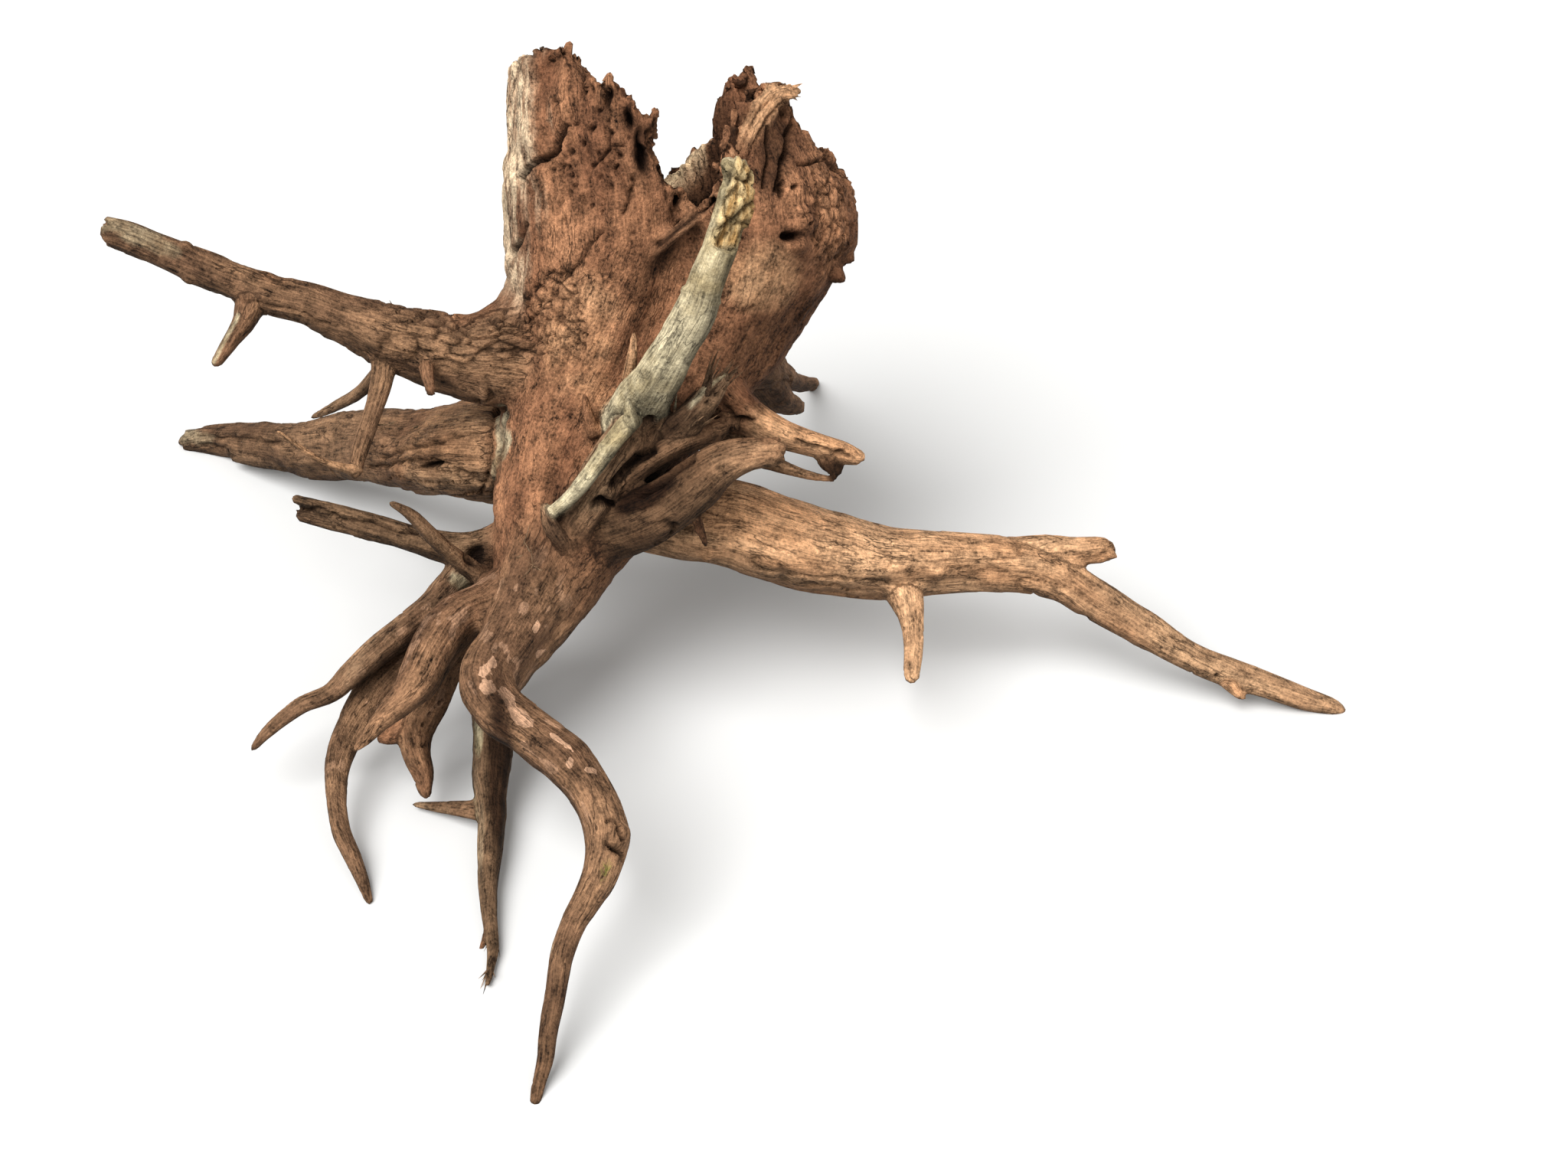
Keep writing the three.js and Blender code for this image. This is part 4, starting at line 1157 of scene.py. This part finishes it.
# Painted shade where it falls in hollows, under overhangs and behind limbs: across, up, half length and
# half width, lean in degrees, and strength
SHADE_SPOTS = [
    (-90, 60, 36, 13, 62, 1.0), (-66, 108, 16, 10, 40, 0.6), (-186, -120, 75, 11, 0, 0.95),
    (-198, 20, 13, 11, 0, 0.75), (-106, 30, 30, 11, 40, 0.5), (-120, 22, 34, 16, 30, 0.3),
    (-80, 215, 24, 6, 38, 0.5), (-6, 284, 28, 14, 14, 0.75), (-93, 286, 22, 8, -6, 0.75),
    (-144, 30, 14, 8, -30, 0.35), (-30, 316, 20, 10, 10, 0.15), (-8, 164, 40, 14, 45, 0.42),
    (-150, 22, 34, 24, 0, 0.34), (-116, 318, 12, 7, 20, 0.5), (-102, 306, 12, 7, -10, 0.5),
]
# Limbs with a dark end, mostly painted shade where a limb lies in the shadow of others: the shares of their
# length where the dark starts and is full, and its strength
DARK_ENDS = {
    "right_hook": (0.96, 0.6, 0.8), "frayed_stub": (1.0, 0.5, 0.75), "pale_root_foot": (0.5, 0.2, 0.5),
    "ridge": (1.0, 0.5, 0.5), "right_stub_strip": (0.75, 0.45, 0.6),
    "right_stub_block": (-0.4, 0.3, 0.8), "left_back": (0.3, 0.55, 0.16), "left_low": (0.2, 0.5, 0.35),
    "left_low_upper_split": (-0.5, 0.0, 0.35), "left_low_lower_split": (-0.5, 0.0, 0.35),
    "left_low_twig": (0.1, 0.4, 0.3), "right_hook_splinter": (1.6, 1.2, 0.7),
    "front_leg": (0.7, 0.92, 0.4), "second_leg": (0.5, 0.7, 0.3),
}
# Across, up, half length and half width, and how far the length leans from upright, in degrees
PEELED = [
    (-193, -65, 6, 5.5, 0), (-180, -74, 11, 4.4, -20), (-171, -85, 10, 5, -50), (-196, -54, 5, 4, 20),
    (-140, -115, 5, 3, 10), (-126, -119, 6, 2.4, -70), (-146, -100, 12, 2, -52), (-190, -48, 5, 3, -40),
    (-163, -25, 5, 2, 20), (-158, -44, 4, 3, 0),
]
# Tan spots on the trunk, listed as the worm-eaten ones are: the first is tan wood, the second painted light
# where the trunk's right side is lit
TAN_AND_LIT_SPOTS = [(-134, 160, 42, 62, 1.1, 0.3, 1.0), (-14, 204, 36, 34, 1.1, 0.3, 1.4)]
# Across, up and radius
MOSS = (-115, -185, 4.5)
tan_and_lit_spots = np.zeros(len(skin))
# Tan wood, and a painted pool of light on the trunk's right
for *spot, strength in TAN_AND_LIT_SPOTS:
    tan_and_lit_spots = np.maximum(tan_and_lit_spots, strength * (1 - share) * spot_share(*spot))
# Painted shade on the sides that face right, away from the lamp
right_side_shade = ease(outward @ VIEW_RIGHT, 0.0, 0.8)
# Painted shade inside the hollow, darker further below the rim and none on the far lip
shade_and_dark = soften(home["inside"].astype(float), 6, ends) * 0.75 * ease(rim_here - up, 4, 40) * (1 - far_lip)
# Painted shade in cracks, placed holes, worm pits and clefts, from their depths
crevice_shade_mask = np.clip(np.maximum.reduce([crack * 0.9, placed / 6, pits / 3.6, 0.8 * clefts]), 0, 1)
shade_side = ease(outward @ VIEW_RIGHT, -0.75, -0.2)
on_second_leg = on_limb("second_leg")
# The second leg is painted pale on its left side only, a painted highlight where the light falls
bleached_and_lit = np.clip(bleached_and_lit * np.where(on_second_leg, 2.4 - 2.4 * shade_side, 1), 0, 1)
# Pale lines: bleached wood and painted highlights on lit edges
for name, points, half_width, strength in PALE_LINES:
    near = away_from_line(across + wobble, up + wobble, points) / half_width
    here = (share < 0.6) * ease(depth, 70, 50) if name is None else on_limb(name)
    bleached_and_lit = np.maximum(bleached_and_lit, strength * ease(near, 1.3, 0.4) * facing * here)
# Painted shade in the listed spots
for *spot, strength in SHADE_SPOTS:
    shade_and_dark = np.maximum(shade_and_dark, strength * ease(oval(*spot), 1.2, 0.5) * facing * ease(depth, 60, 20))
# Painted shade along limbs that lie in the shadow of others, and darker stretches of the left limbs
for name, (starts, full, strength) in DARK_ENDS.items():
    here = soften(on_limb(name) * 1.0, 4, ends) * np.maximum(share, facing)
    shade_and_dark = np.maximum(shade_and_dark, strength * here * ease(home["tip"] + 0.02 * wobble, starts, full))
spots = np.zeros(len(skin))
for spot in PEELED:
    spots = np.maximum(spots, ease(oval(*spot), 1.7, 0.3) * facing)
peeling = peeling * ease(home["tip"], 0.75, 0.55)
near_moss = np.hypot(across - MOSS[0] + wobble, up - MOSS[1] - wobble) / MOSS[2]
moss = ease(near_moss, 1.2, 0.2) * facing * (depth < 0)
for name, values in (("bleached_and_lit", bleached_and_lit), ("fresh", fresh)):
    print(name, "wood covers", round(float((values > 0.5).mean()), 4), "of the skin")

# %% Keep the masks on the mesh
def keep_number(made, name, values):
    """A number for every vertex, which the shader can look up by name."""
    kept_list = made.data.attributes.new(name, "FLOAT", "POINT").data
    kept_list.foreach_set("value", values.astype(np.float32))


def keep_vector(made, name, values):
    """Three numbers for every vertex, which the shader can look up by name."""
    kept_list = made.data.attributes.new(name, "FLOAT_VECTOR", "POINT").data
    kept_list.foreach_set("vector", values.astype(np.float32).ravel())


MASKS = {
    "bleached_and_lit": bleached_and_lit,
    # Tan limbs, with tan wood and painted light on the trunk
    "tan": np.clip(tan + 0.5 * tan_and_lit_spots, 0, 1),
    "grey": grey,
    "peeling": peeling,
    "strip": strip,
    "far_lip": far_lip,
    "fresh": fresh,
    "shade_and_dark": shade_and_dark,
    "crevice_shade": crevice_shade_mask,
    "rotten": rotten,
    "limb_share": share,
    "peeled": spots,
    "moss": moss,
    "right_side_shade": right_side_shade,
}
for name, values in MASKS.items():
    keep_number(wood, name, values)
keep_vector(wood, "trunk_grain", home["trunk_grain"] * MM)
keep_vector(wood, "limb_grain", home["limb_grain"] * MM)
print(len(MASKS), "masks kept")

# %% [markdown]
# ## Fewer faces where the wood is plain
# The even skin spends as many faces on a smooth stretch as on a crack. A collapse decimate takes them
# from the smooth stretches first and carries the attributes along.

# %% Thin out the skin
MOST_TRIANGLES = 190000
triangles = sum(len(polygon.vertices) - 2 for polygon in wood.data.polygons)
if triangles > MOST_TRIANGLES:
    thin = wood.modifiers.new("thin_out", "DECIMATE")
    thin.ratio = MOST_TRIANGLES / triangles
    settled(wood)
for polygon in wood.data.polygons:
    polygon.use_smooth = True
print("skin went from", triangles, "to", sum(len(p.vertices) - 2 for p in wood.data.polygons), "triangles")

# %% [markdown]
# ## Loose splinters
# Broken ends and the rim are frayed into fibres that are too thin for the one skin. Each is a closed,
# tapering tube whose root is sunk in the wood. They could be hair curves, but an exported model drops
# those.

# %% Splinters at broken ends and round the rim
# Limb, share of its length, how many, length, base radius and how far they spread
SPRAYS = [
    ("frayed_stub", 0.95, 6, 12, 1.8, 0.5), ("frayed_stub", 0.8, 9, 22, 2.6, 0.4),
    ("frayed_stub", 0.5, 9, 20, 2.4, 0.6), ("second_leg", 0.95, 5, 13, 1.0, 0.5),
    ("second_leg", 0.88, 3, 11, 0.9, 0.9), ("left_back", 0.36, 8, 14, 1.3, 1.0),
    ("left_low", 0.2, 5, 11, 1.3, 1.1), ("rim_right_blade", 0.93, 5, 6, 1.6, 0.3),
    ("left_high", 0.35, 4, 9, 1.4, 1.0),
]
# Fibres that lie on the skin: across, up, lean from upright in degrees and length
LYING = [
    (-170, 28, 20, 13), (-166, 24, -25, 12), (-172, 20, 65, 10), (-164, 14, -10, 14), (-169, 8, 35, 12),
    (-160, 12, -60, 10), (-266, 106, 84, 16), (-256, 109, 76, 14), (-250, 105, 90, 15),
    (-240, 106, 80, 12),
]
RIM_SPLINTERS = 10
SPLINTER_SIDES = 5
SPLINTER_RINGS = 5
SUNK = 0.25
LYING_RADIUS = 0.8
LYING_PALE = 0.32
chance = np.random.default_rng(11)


def splinter(root, direction, length, radius, thin=0.55, taper=0.9):
    """A thin tapering tube with a slight bend, sunk a little at its root."""
    direction = unit(direction)
    side = unit(np.cross(direction, VIEW_AWAY + 0.3 * VIEW_RIGHT))
    cross = np.cross(direction, side)
    bend = chance.normal(0, 0.12, 2) * length
    share_out = np.linspace(0, 1, SPLINTER_RINGS)[:, None]
    bent = (side * bend[0] + cross * bend[1]) * share_out**2
    line = root + direction * length * (share_out * (1 + SUNK) - SUNK) + bent
    angle = np.linspace(0, 2 * math.pi, SPLINTER_SIDES, endpoint=False)
    around = np.cos(angle)[:, None] * side + thin * np.sin(angle)[:, None] * cross
    ring_points = line[:, None] + radius * (1 - taper * share_out)[..., None] * around
    vertices = np.vstack([ring_points.reshape(-1, 3), line[0], line[-1] + direction * radius * 0.3])
    return vertices, grid_faces(SPLINTER_RINGS, SPLINTER_SIDES)


loose = []
loose_pale = []
for name, share_along, count, length, radius, spread in SPRAYS:
    line = LINES[name]
    at = min(int(share_along * len(line["along"])), len(line["along"]) - 1)
    for _ in range(count):
        angle = chance.uniform(0, 2 * math.pi)
        radial = math.cos(angle) * line["side"][at] + math.sin(angle) * line["cross"][at]
        root = line["points"][at] + radial * line["radius"][at] * 0.72
        direction = line["tangent"][at] + radial * spread * chance.uniform(0.2, 1)
        direction = direction + chance.normal(0, 0.18, 3)
        own_length = length * chance.uniform(0.55, 1.25)
        own_radius = radius * chance.uniform(0.7, 1.2)
        loose.append(splinter(root, direction, own_length, own_radius))
        loose_pale.append(0.0)
for at_across, at_up, lean, length in LYING:
    near_view = np.hypot(across - at_across, up - at_up) + 0.02 * depth
    root = skin[near_view.argmin()]
    turn = math.radians(lean)
    direction = math.sin(turn) * VIEW_RIGHT + math.cos(turn) * VIEW_UP - 0.12 * VIEW_AWAY
    loose.append(splinter(root, direction, length, LYING_RADIUS))
    loose_pale.append(LYING_PALE)
for angle in chance.uniform(0, 2 * math.pi, RIM_SPLINTERS):
    top = np.interp(math.degrees(angle), RIM[:, 0], RIM[:, 1])
    root = trunk_points(np.array(angle), np.array(top - 5.0), 0.93)
    direction = VIEW_UP + chance.normal(0, 0.2, 3)
    loose.append(splinter(root, direction, chance.uniform(3, 8), chance.uniform(3, 7), 0.5, 0.45))
    loose_pale.append(0.0)
splinters = mesh_object("driftwood_splinters", *joined(loose))
print(len(loose), "splinters")

# %% Masks of the splinters
fringe = positions(splinters.data)
fringe[:, 2] = np.maximum(fringe[:, 2], 0.0)
place(splinters.data, fringe)
fringe_home = grown_from(fringe)
fringe_tones = TONE_TABLE[fringe_home["limb"]] * fringe_home["limb_share"][:, None]
fringe_masks = dict(zip(("bleached_and_lit", "tan", "grey"), fringe_tones.T))
fringe_masks["bleached_and_lit"] = np.maximum(fringe_tones[:, 0], np.repeat(loose_pale, len(loose[0][0])))
fringe_masks["limb_share"] = fringe_home["limb_share"]
for name in MASKS:
    keep_number(splinters, name, fringe_masks.get(name, np.zeros(len(fringe))))
keep_vector(splinters, "trunk_grain", fringe_home["trunk_grain"] * MM)
keep_vector(splinters, "limb_grain", fringe_home["limb_grain"] * MM)
print("splinters are painted as the limb that they stand on")

# %% [markdown]
# ## Painted shade from the sky
# Wood that sees little sky is painted darker, as painted shade under limbs and in corners. Rays sent up
# from every point show how much sky it sees. An ambient occlusion node could darken corners too, but only
# while rendering, and this keeps.

# %% Share of sky that each point sees
SKY_RAYS = 22
# Where a ray starts off the skin and how far it goes, in metres
RAY_LIFT = 0.0012
RAY_REACH = 0.5
# Rays that only graze the skin are left out; open sky on all sides counts as this share of the rays
LEAST_SQUARE = 0.03
OPEN_SKY = 0.62
GOLDEN_TURN = math.pi * (3 - math.sqrt(5))


def sky_directions(count):
    """Directions over the upper half, closer together near the top."""
    rank = np.arange(count) + 0.5
    height = np.sqrt(1 - 0.93 * rank / count)
    flat = np.sqrt(1 - height**2)
    return np.stack([flat * np.cos(rank * GOLDEN_TURN), flat * np.sin(rank * GOLDEN_TURN), height], axis=1)


def sky_share(made, tree):
    """How much of the upper sky each vertex sees, weighed by how squarely it faces it."""
    spots = positions(made.data) * MM
    facing_ways = normals(made.data)
    starts = spots + facing_ways * RAY_LIFT
    total = np.zeros(len(spots))
    for direction in sky_directions(SKY_RAYS):
        square = facing_ways @ direction
        way = Vector(direction)
        for i in np.flatnonzero(square > LEAST_SQUARE):
            if tree.ray_cast(starts[i], way, RAY_REACH)[0] is None:
                total[i] += square[i]
    return total / (OPEN_SKY * SKY_RAYS)


shadow_tree = BVHTree.FromPolygons(
    [tuple(v.co) for v in wood.data.vertices], [tuple(p.vertices) for p in wood.data.polygons]
)
for piece in (wood, splinters):
    seen = np.clip(sky_share(piece, shadow_tree), 0, 1)
    # Kept for painted shade: the paint darkens wood that sees little sky
    keep_number(piece, "sky", soften(seen, 2, edge_ends(piece.data)))
    print(piece.name, "sees", round(float(seen.mean()), 2), "of the sky")

# %% [markdown]
# ## Paint
# The colours follow the grain. Noise drawn out along it is worked out in the trunk's grain and in the
# limb's and mixed by the limb share, in sizes from broad bands to single fibres. A small class lets the
# masks be combined as plain sums, which keeps the recipe readable.

# %% Shader sums
class Sum:
    """A socket that can be added, multiplied and mixed as if it were a number."""

    def __init__(self, tree, socket):
        self.tree = tree
        self.socket = socket

    def node(self, kind, settings=None, **inputs):
        """Any node: its settings are set first, then its sockets' values or links, by name or by number."""
        made = self.tree.nodes.new(kind)
        for key, value in (settings or {}).items():
            setattr(made, key, value)
        for key, value in inputs.items():
            numbered = key[0] == "_" and key[1:].isdigit()
            socket = made.inputs[int(key[1:]) if numbered else key.replace("_", " ")]
            if isinstance(value, Sum):
                self.tree.links.new(value.socket, socket)
            else:
                socket.default_value = value
        return made

    def out(self, made, socket=0):
        """An output of a node, ready to be used in a sum."""
        return Sum(self.tree, made.outputs[socket])

    def maths(self, operation, a, b=0.0):
        """One step of arithmetic on two numbers."""
        return self.out(self.node("ShaderNodeMath", {"operation": operation}, _0=a, _1=b))

    def __add__(self, other):
        return self.maths("ADD", self, other)

    def __radd__(self, other):
        return self.maths("ADD", other, self)

    def __sub__(self, other):
        return self.maths("SUBTRACT", self, other)

    def __rsub__(self, other):
        return self.maths("SUBTRACT", other, self)

    def __mul__(self, other):
        return self.maths("MULTIPLY", self, other)

    def __rmul__(self, other):
        return self.maths("MULTIPLY", other, self)

    def between(self, low, high):
        """0 at low and 1 at high, smooth between."""
        smooth = {"interpolation_type": "SMOOTHSTEP"}
        return self.out(self.node("ShaderNodeMapRange", smooth, Value=self, From_Min=low, From_Max=high))

    def mixed(self, a, b):
        """Colour a where this is 0 and colour b where it is 1."""
        made = self.node("ShaderNodeMix", {"data_type": "RGBA"}, _0=self, _6=a, _7=b)
        return self.out(made, 2)

    def blended(self, a, b):
        """Number a where this is 0 and number b where it is 1."""
        made = self.node("ShaderNodeMix", {"data_type": "FLOAT"}, _0=self, _2=a, _3=b)
        return self.out(made, 0)

    def shaded(self, by):
        """A colour multiplied by a number or by another colour."""
        multiply = {"data_type": "RGBA", "blend_type": "MULTIPLY"}
        return self.out(self.node("ShaderNodeMix", multiply, _0=1.0, _6=self, _7=by), 2)

    def scaled(self, by):
        """A vector with each part multiplied."""
        return self.out(self.node("ShaderNodeVectorMath", {"operation": "MULTIPLY"}, _0=self, _1=by))


def colour(red, green, blue):
    """A colour as the eye reads it on a screen, 0 to 255, turned into light."""
    parts = (channel / 255 for channel in (red, green, blue))
    return (*(p / 12.92 if p <= 0.04045 else ((p + 0.055) / 1.055) ** 2.4 for p in parts), 1.0)


print("a mid grey is", round(colour(128, 128, 128)[0], 3), "of full light")

# %% [markdown]
# ## The finish of the wood
# Old wood is dull, and its colour comes from many thin layers. The base is red-brown, and tan, grey,
# peeled, bleached and fresh wood are laid over it by their masks, with painted highlights, painted shade
# and darker wood. Grain, specks, clouds and chips then make it lighter and darker, and the painted shade of
# cracks and of the share of sky comes last. The same noises feed a bump, so that light catches the grain.

# %% The wood's finish
RED_BROWN = colour(174, 124, 90)
DEEP_BROWN = colour(124, 84, 60)
TAN = colour(200, 149, 108)
LIGHT_TAN = colour(222, 175, 133)
GREY_BROWN = colour(148, 117, 88)
GREY_DEEP = colour(106, 82, 62)
STRIP_TAN = colour(226, 200, 166)
BLEACHED = colour(208, 194, 160)
BLEACHED_DULL = colour(160, 143, 108)
FRESH_YELLOW = colour(212, 166, 104)
FRESH_PALE = colour(236, 206, 152)
SALMON = colour(206, 162, 130)
MOSS_GREEN = colour(112, 122, 44)
LIP_PALE = colour(230, 200, 160)
CRACK_DARK = colour(34, 20, 12)
# Brown of the painted shade and of darker wood
SHADE_AND_DARK_BROWN = colour(44, 27, 16)
CHIP_LIGHTER = (1.6, 1.6, 1.6, 1.0)
SHINE = 0.12
BUMP_STRENGTH = 0.9
BUMP_DISTANCE = 0.0025


def wood_finish():
    """The one material of the wood, from the masks and grains kept on the mesh."""
    finish = bpy.data.materials.new("weathered_wood")
    finish.use_nodes = True
    tree = finish.node_tree
    shader = tree.nodes["Principled BSDF"]
    start = Sum(tree, None)

    def kept(name, socket):
        """What was kept on the mesh under a name."""
        return start.out(start.node("ShaderNodeAttribute", {"attribute_name": name}), socket)

    def mask(name):
        """A kept number."""
        return kept(name, "Fac")

    trunk = kept("trunk_grain", "Vector")
    limb = kept("limb_grain", "Vector")
    share_here = mask("limb_share")

    def drawn_out(width, length, detail, rough=0.55):
        """Noise about width across and length along the grain, in metres."""
        stretch = (1 / width, 1 / width, 1 / length)
        settings = {"Scale": 1.0, "Detail": detail, "Roughness": rough}
        parts = []
        for run in (trunk, limb):
            made = start.node("ShaderNodeTexNoise", Vector=run.scaled(stretch), **settings)
            parts.append(start.out(made))
        return share_here.blended(*parts)

    spot = start.out(start.node("ShaderNodeTexCoord"), "Object")

    def mottle(size, detail):
        """Noise of one size in every direction, in metres."""
        settings = {"Scale": 1 / size, "Detail": detail, "Roughness": 0.62}
        return start.out(start.node("ShaderNodeTexNoise", Vector=spot, **settings))

    broad = drawn_out(0.026, 0.17, 2.0)
    streak = drawn_out(0.0052, 0.05, 4.0, 0.62)
    fibre = drawn_out(0.0013, 0.026, 3.0, 0.6)
    seam = drawn_out(0.009, 0.045, 3.0)
    patch = drawn_out(0.010, 0.018, 2.0, 0.4)
    blotch = mottle(0.05, 5.0)
    speck = mottle(0.0019, 3.0)
    cloud = mottle(0.011, 3.0)
    flake = mottle(0.007, 2.0)
    chip = drawn_out(0.0036, 0.0075, 2.0, 0.5)

    tone = (broad * 0.6 + blotch * 0.4).between(0.36, 0.64)
    base = tone.mixed(DEEP_BROWN, RED_BROWN)
    tan_here = (mask("tan") * 1.1 + (blotch - 0.5) * 0.9).between(0.12, 0.85)
    base = tan_here.mixed(base, tone.mixed(TAN, LIGHT_TAN))
    base = (mask("grey") * 0.95).mixed(base, tone.mixed(GREY_DEEP, GREY_BROWN))
    peeled = (mask("peeled") + (flake - 0.5) * 0.9).between(0.47, 0.55)
    peel = (mask("peeling") * patch.between(0.6, 0.625) * 0.8 + peeled * 0.9).between(0.0, 1.0)
    base = peel.mixed(base, SALMON)
    strip_here = mask("strip") * (0.3 + streak.between(0.38, 0.56) * 0.65)
    base = strip_here.mixed(base, STRIP_TAN)
    # Bleached wood, with painted highlights on edges that face the light
    pale_here = (mask("bleached_and_lit") * 1.25 + (blotch - 0.5) * 0.6 - 0.08).between(0.15, 0.8)
    # Painted highlight on the left side of bleached wood and painted shade on its right side
    pale = blotch.between(0.36, 0.6).mixed(BLEACHED_DULL, BLEACHED).shaded(1.12 - mask("right_side_shade") * 0.5)
    base = pale_here.mixed(base, pale)
    base = mask("fresh").mixed(base, streak.between(0.42, 0.6).mixed(FRESH_YELLOW, FRESH_PALE))
    # Painted shade in the hollow, under overhangs and behind limbs, and darker wood
    base = mask("shade_and_dark").mixed(base, SHADE_AND_DARK_BROWN)
    # Painted highlight on the far lip
    base = (mask("far_lip") * (0.55 + streak.between(0.35, 0.6) * 0.45)).mixed(base, LIP_PALE)
    base = (mask("moss") * 0.8 * speck.between(0.4, 0.55)).mixed(base, MOSS_GREEN)

    quiet = 1 - pale_here * 0.15 - peel * 0.3
    coarse = streak.between(0.3, 0.7) - 0.5
    short = fibre.between(0.3, 0.7) - 0.5
    grains = speck.between(0.3, 0.7) - 0.5
    clouds = cloud.between(0.3, 0.7) - 0.5
    along_grain = coarse * 0.5 + short * (0.4 + share_here * 0.34)
    base = base.shaded(0.97 + (along_grain + grains * (0.82 - share_here * 0.3) + clouds * 0.68) * quiet)
    chips = chip.between(0.585, 0.61) * (0.55 - mask("rotten") * 0.3)
    base = (chips * 0.6 * quiet).mixed(base, base.shaded(CHIP_LIGHTER))
    from_seam = start.maths("ABSOLUTE", seam - 0.5)
    line = from_seam.between(0.014, 0.003) * blotch.between(0.44, 0.58) * quiet
    base = (line * 0.6).mixed(base, CRACK_DARK)
    # Painted shade in cracks, holes, pits and clefts
    base = (mask("crevice_shade") * 0.9).mixed(base, CRACK_DARK)
    # Painted shade where the skin sees little sky, lifted on the far lip
    base = base.shaded(0.26 + (mask("sky") + mask("far_lip") * 0.6).between(0.0, 0.6) * 0.76)
    tree.links.new(base.socket, shader.inputs["Base Color"])

    rough = 0.76 + streak * 0.22
    tree.links.new(rough.socket, shader.inputs["Roughness"])
    shader.inputs["Specular IOR Level"].default_value = SHINE

    height = streak * 0.9 + fibre * 0.7 + speck * 0.9 + cloud * 0.8 - line * 0.9 - peel * 0.35 - chips * 0.4
    bump = start.node("ShaderNodeBump", Height=height, Strength=BUMP_STRENGTH, Distance=BUMP_DISTANCE)
    tree.links.new(bump.outputs["Normal"], shader.inputs["Normal"])
    return finish


weathered_wood = wood_finish()
for piece in (wood, splinters):
    piece.data.materials.clear()
    piece.data.materials.append(weathered_wood)
    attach(piece, "root")
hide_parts("driftwood")
print("finish has", len(weathered_wood.node_tree.nodes), "nodes")

# %% [markdown]
# ## Floor, light and camera
# The stump stands on a plain pale floor. A broad soft lamp from the upper left gives the bright left
# edges and the dark undersides on the right, which the painted highlights and painted shade of the wood
# make stronger, with a weak lamp and a pale sky to keep the shadows open. The camera looks along the sight
# line.

# %% Floor
FLOOR_HALF = 6000.0
FLOOR_COLOUR = (0.86, 0.86, 0.85, 1)
FLOOR_ROUGH = 0.95
corners = np.array([(-1, -1, 0), (1, -1, 0), (1, 1, 0), (-1, 1, 0)], float) * FLOOR_HALF
floor = mesh_object("floor", corners, [(0, 1, 2, 3)])
floor_paint = bpy.data.materials.new("pale_floor")
floor_paint.use_nodes = True
floor_shader = floor_paint.node_tree.nodes["Principled BSDF"]
floor_shader.inputs["Base Color"].default_value = FLOOR_COLOUR
floor_shader.inputs["Roughness"].default_value = FLOOR_ROUGH
floor.data.materials.append(floor_paint)
print("floor is", 2 * FLOOR_HALF * MM, "m wide")

# %% Lamps and sky
SKY_COLOUR = (1.0, 0.99, 0.97, 1)
SKY_STRENGTH = 0.36


def far_lamp(name, towards, strength, softness):
    """A lamp so far off that it lights everything alike; softness is its width in degrees."""
    lamp = bpy.data.lights.new(name, "SUN")
    lamp.energy = strength
    lamp.angle = math.radians(softness)
    made = bpy.data.objects.new(name, lamp)
    made.rotation_euler = Vector(towards).to_track_quat("-Z", "Y").to_euler()
    bpy.context.scene.collection.objects.link(made)
    return made


far_lamp("key_lamp", (0.44, 0.44, -0.95), 3.25, 45)
far_lamp("fill_lamp", (-0.6, 0.75, -0.5), 0.6, 60)
sky = bpy.data.worlds.new("pale_sky")
sky.use_nodes = True
background = sky.node_tree.nodes["Background"]
background.inputs["Color"].default_value = SKY_COLOUR
background.inputs["Strength"].default_value = SKY_STRENGTH
bpy.context.scene.world = sky
bpy.context.scene.view_settings.view_transform = "Standard"

# %% Camera
SENSOR = 36.0
FRAME_WIDTH = 1024.0
eye = bpy.data.cameras.new("camera")
eye.sensor_width = SENSOR
eye.lens = SENSOR * SIGHT_DISTANCE / FRAME_WIDTH
camera = bpy.data.objects.new("camera", eye)
camera.location = (SIGHT_CENTRE - SIGHT_DISTANCE * VIEW_AWAY) * MM
camera.rotation_euler = (math.pi / 2 - SIGHT_TILT, 0, 0)
bpy.context.scene.collection.objects.link(camera)
bpy.context.scene.camera = camera
print("lens", round(eye.lens, 1), "mm, camera at", [round(v, 3) for v in camera.location])
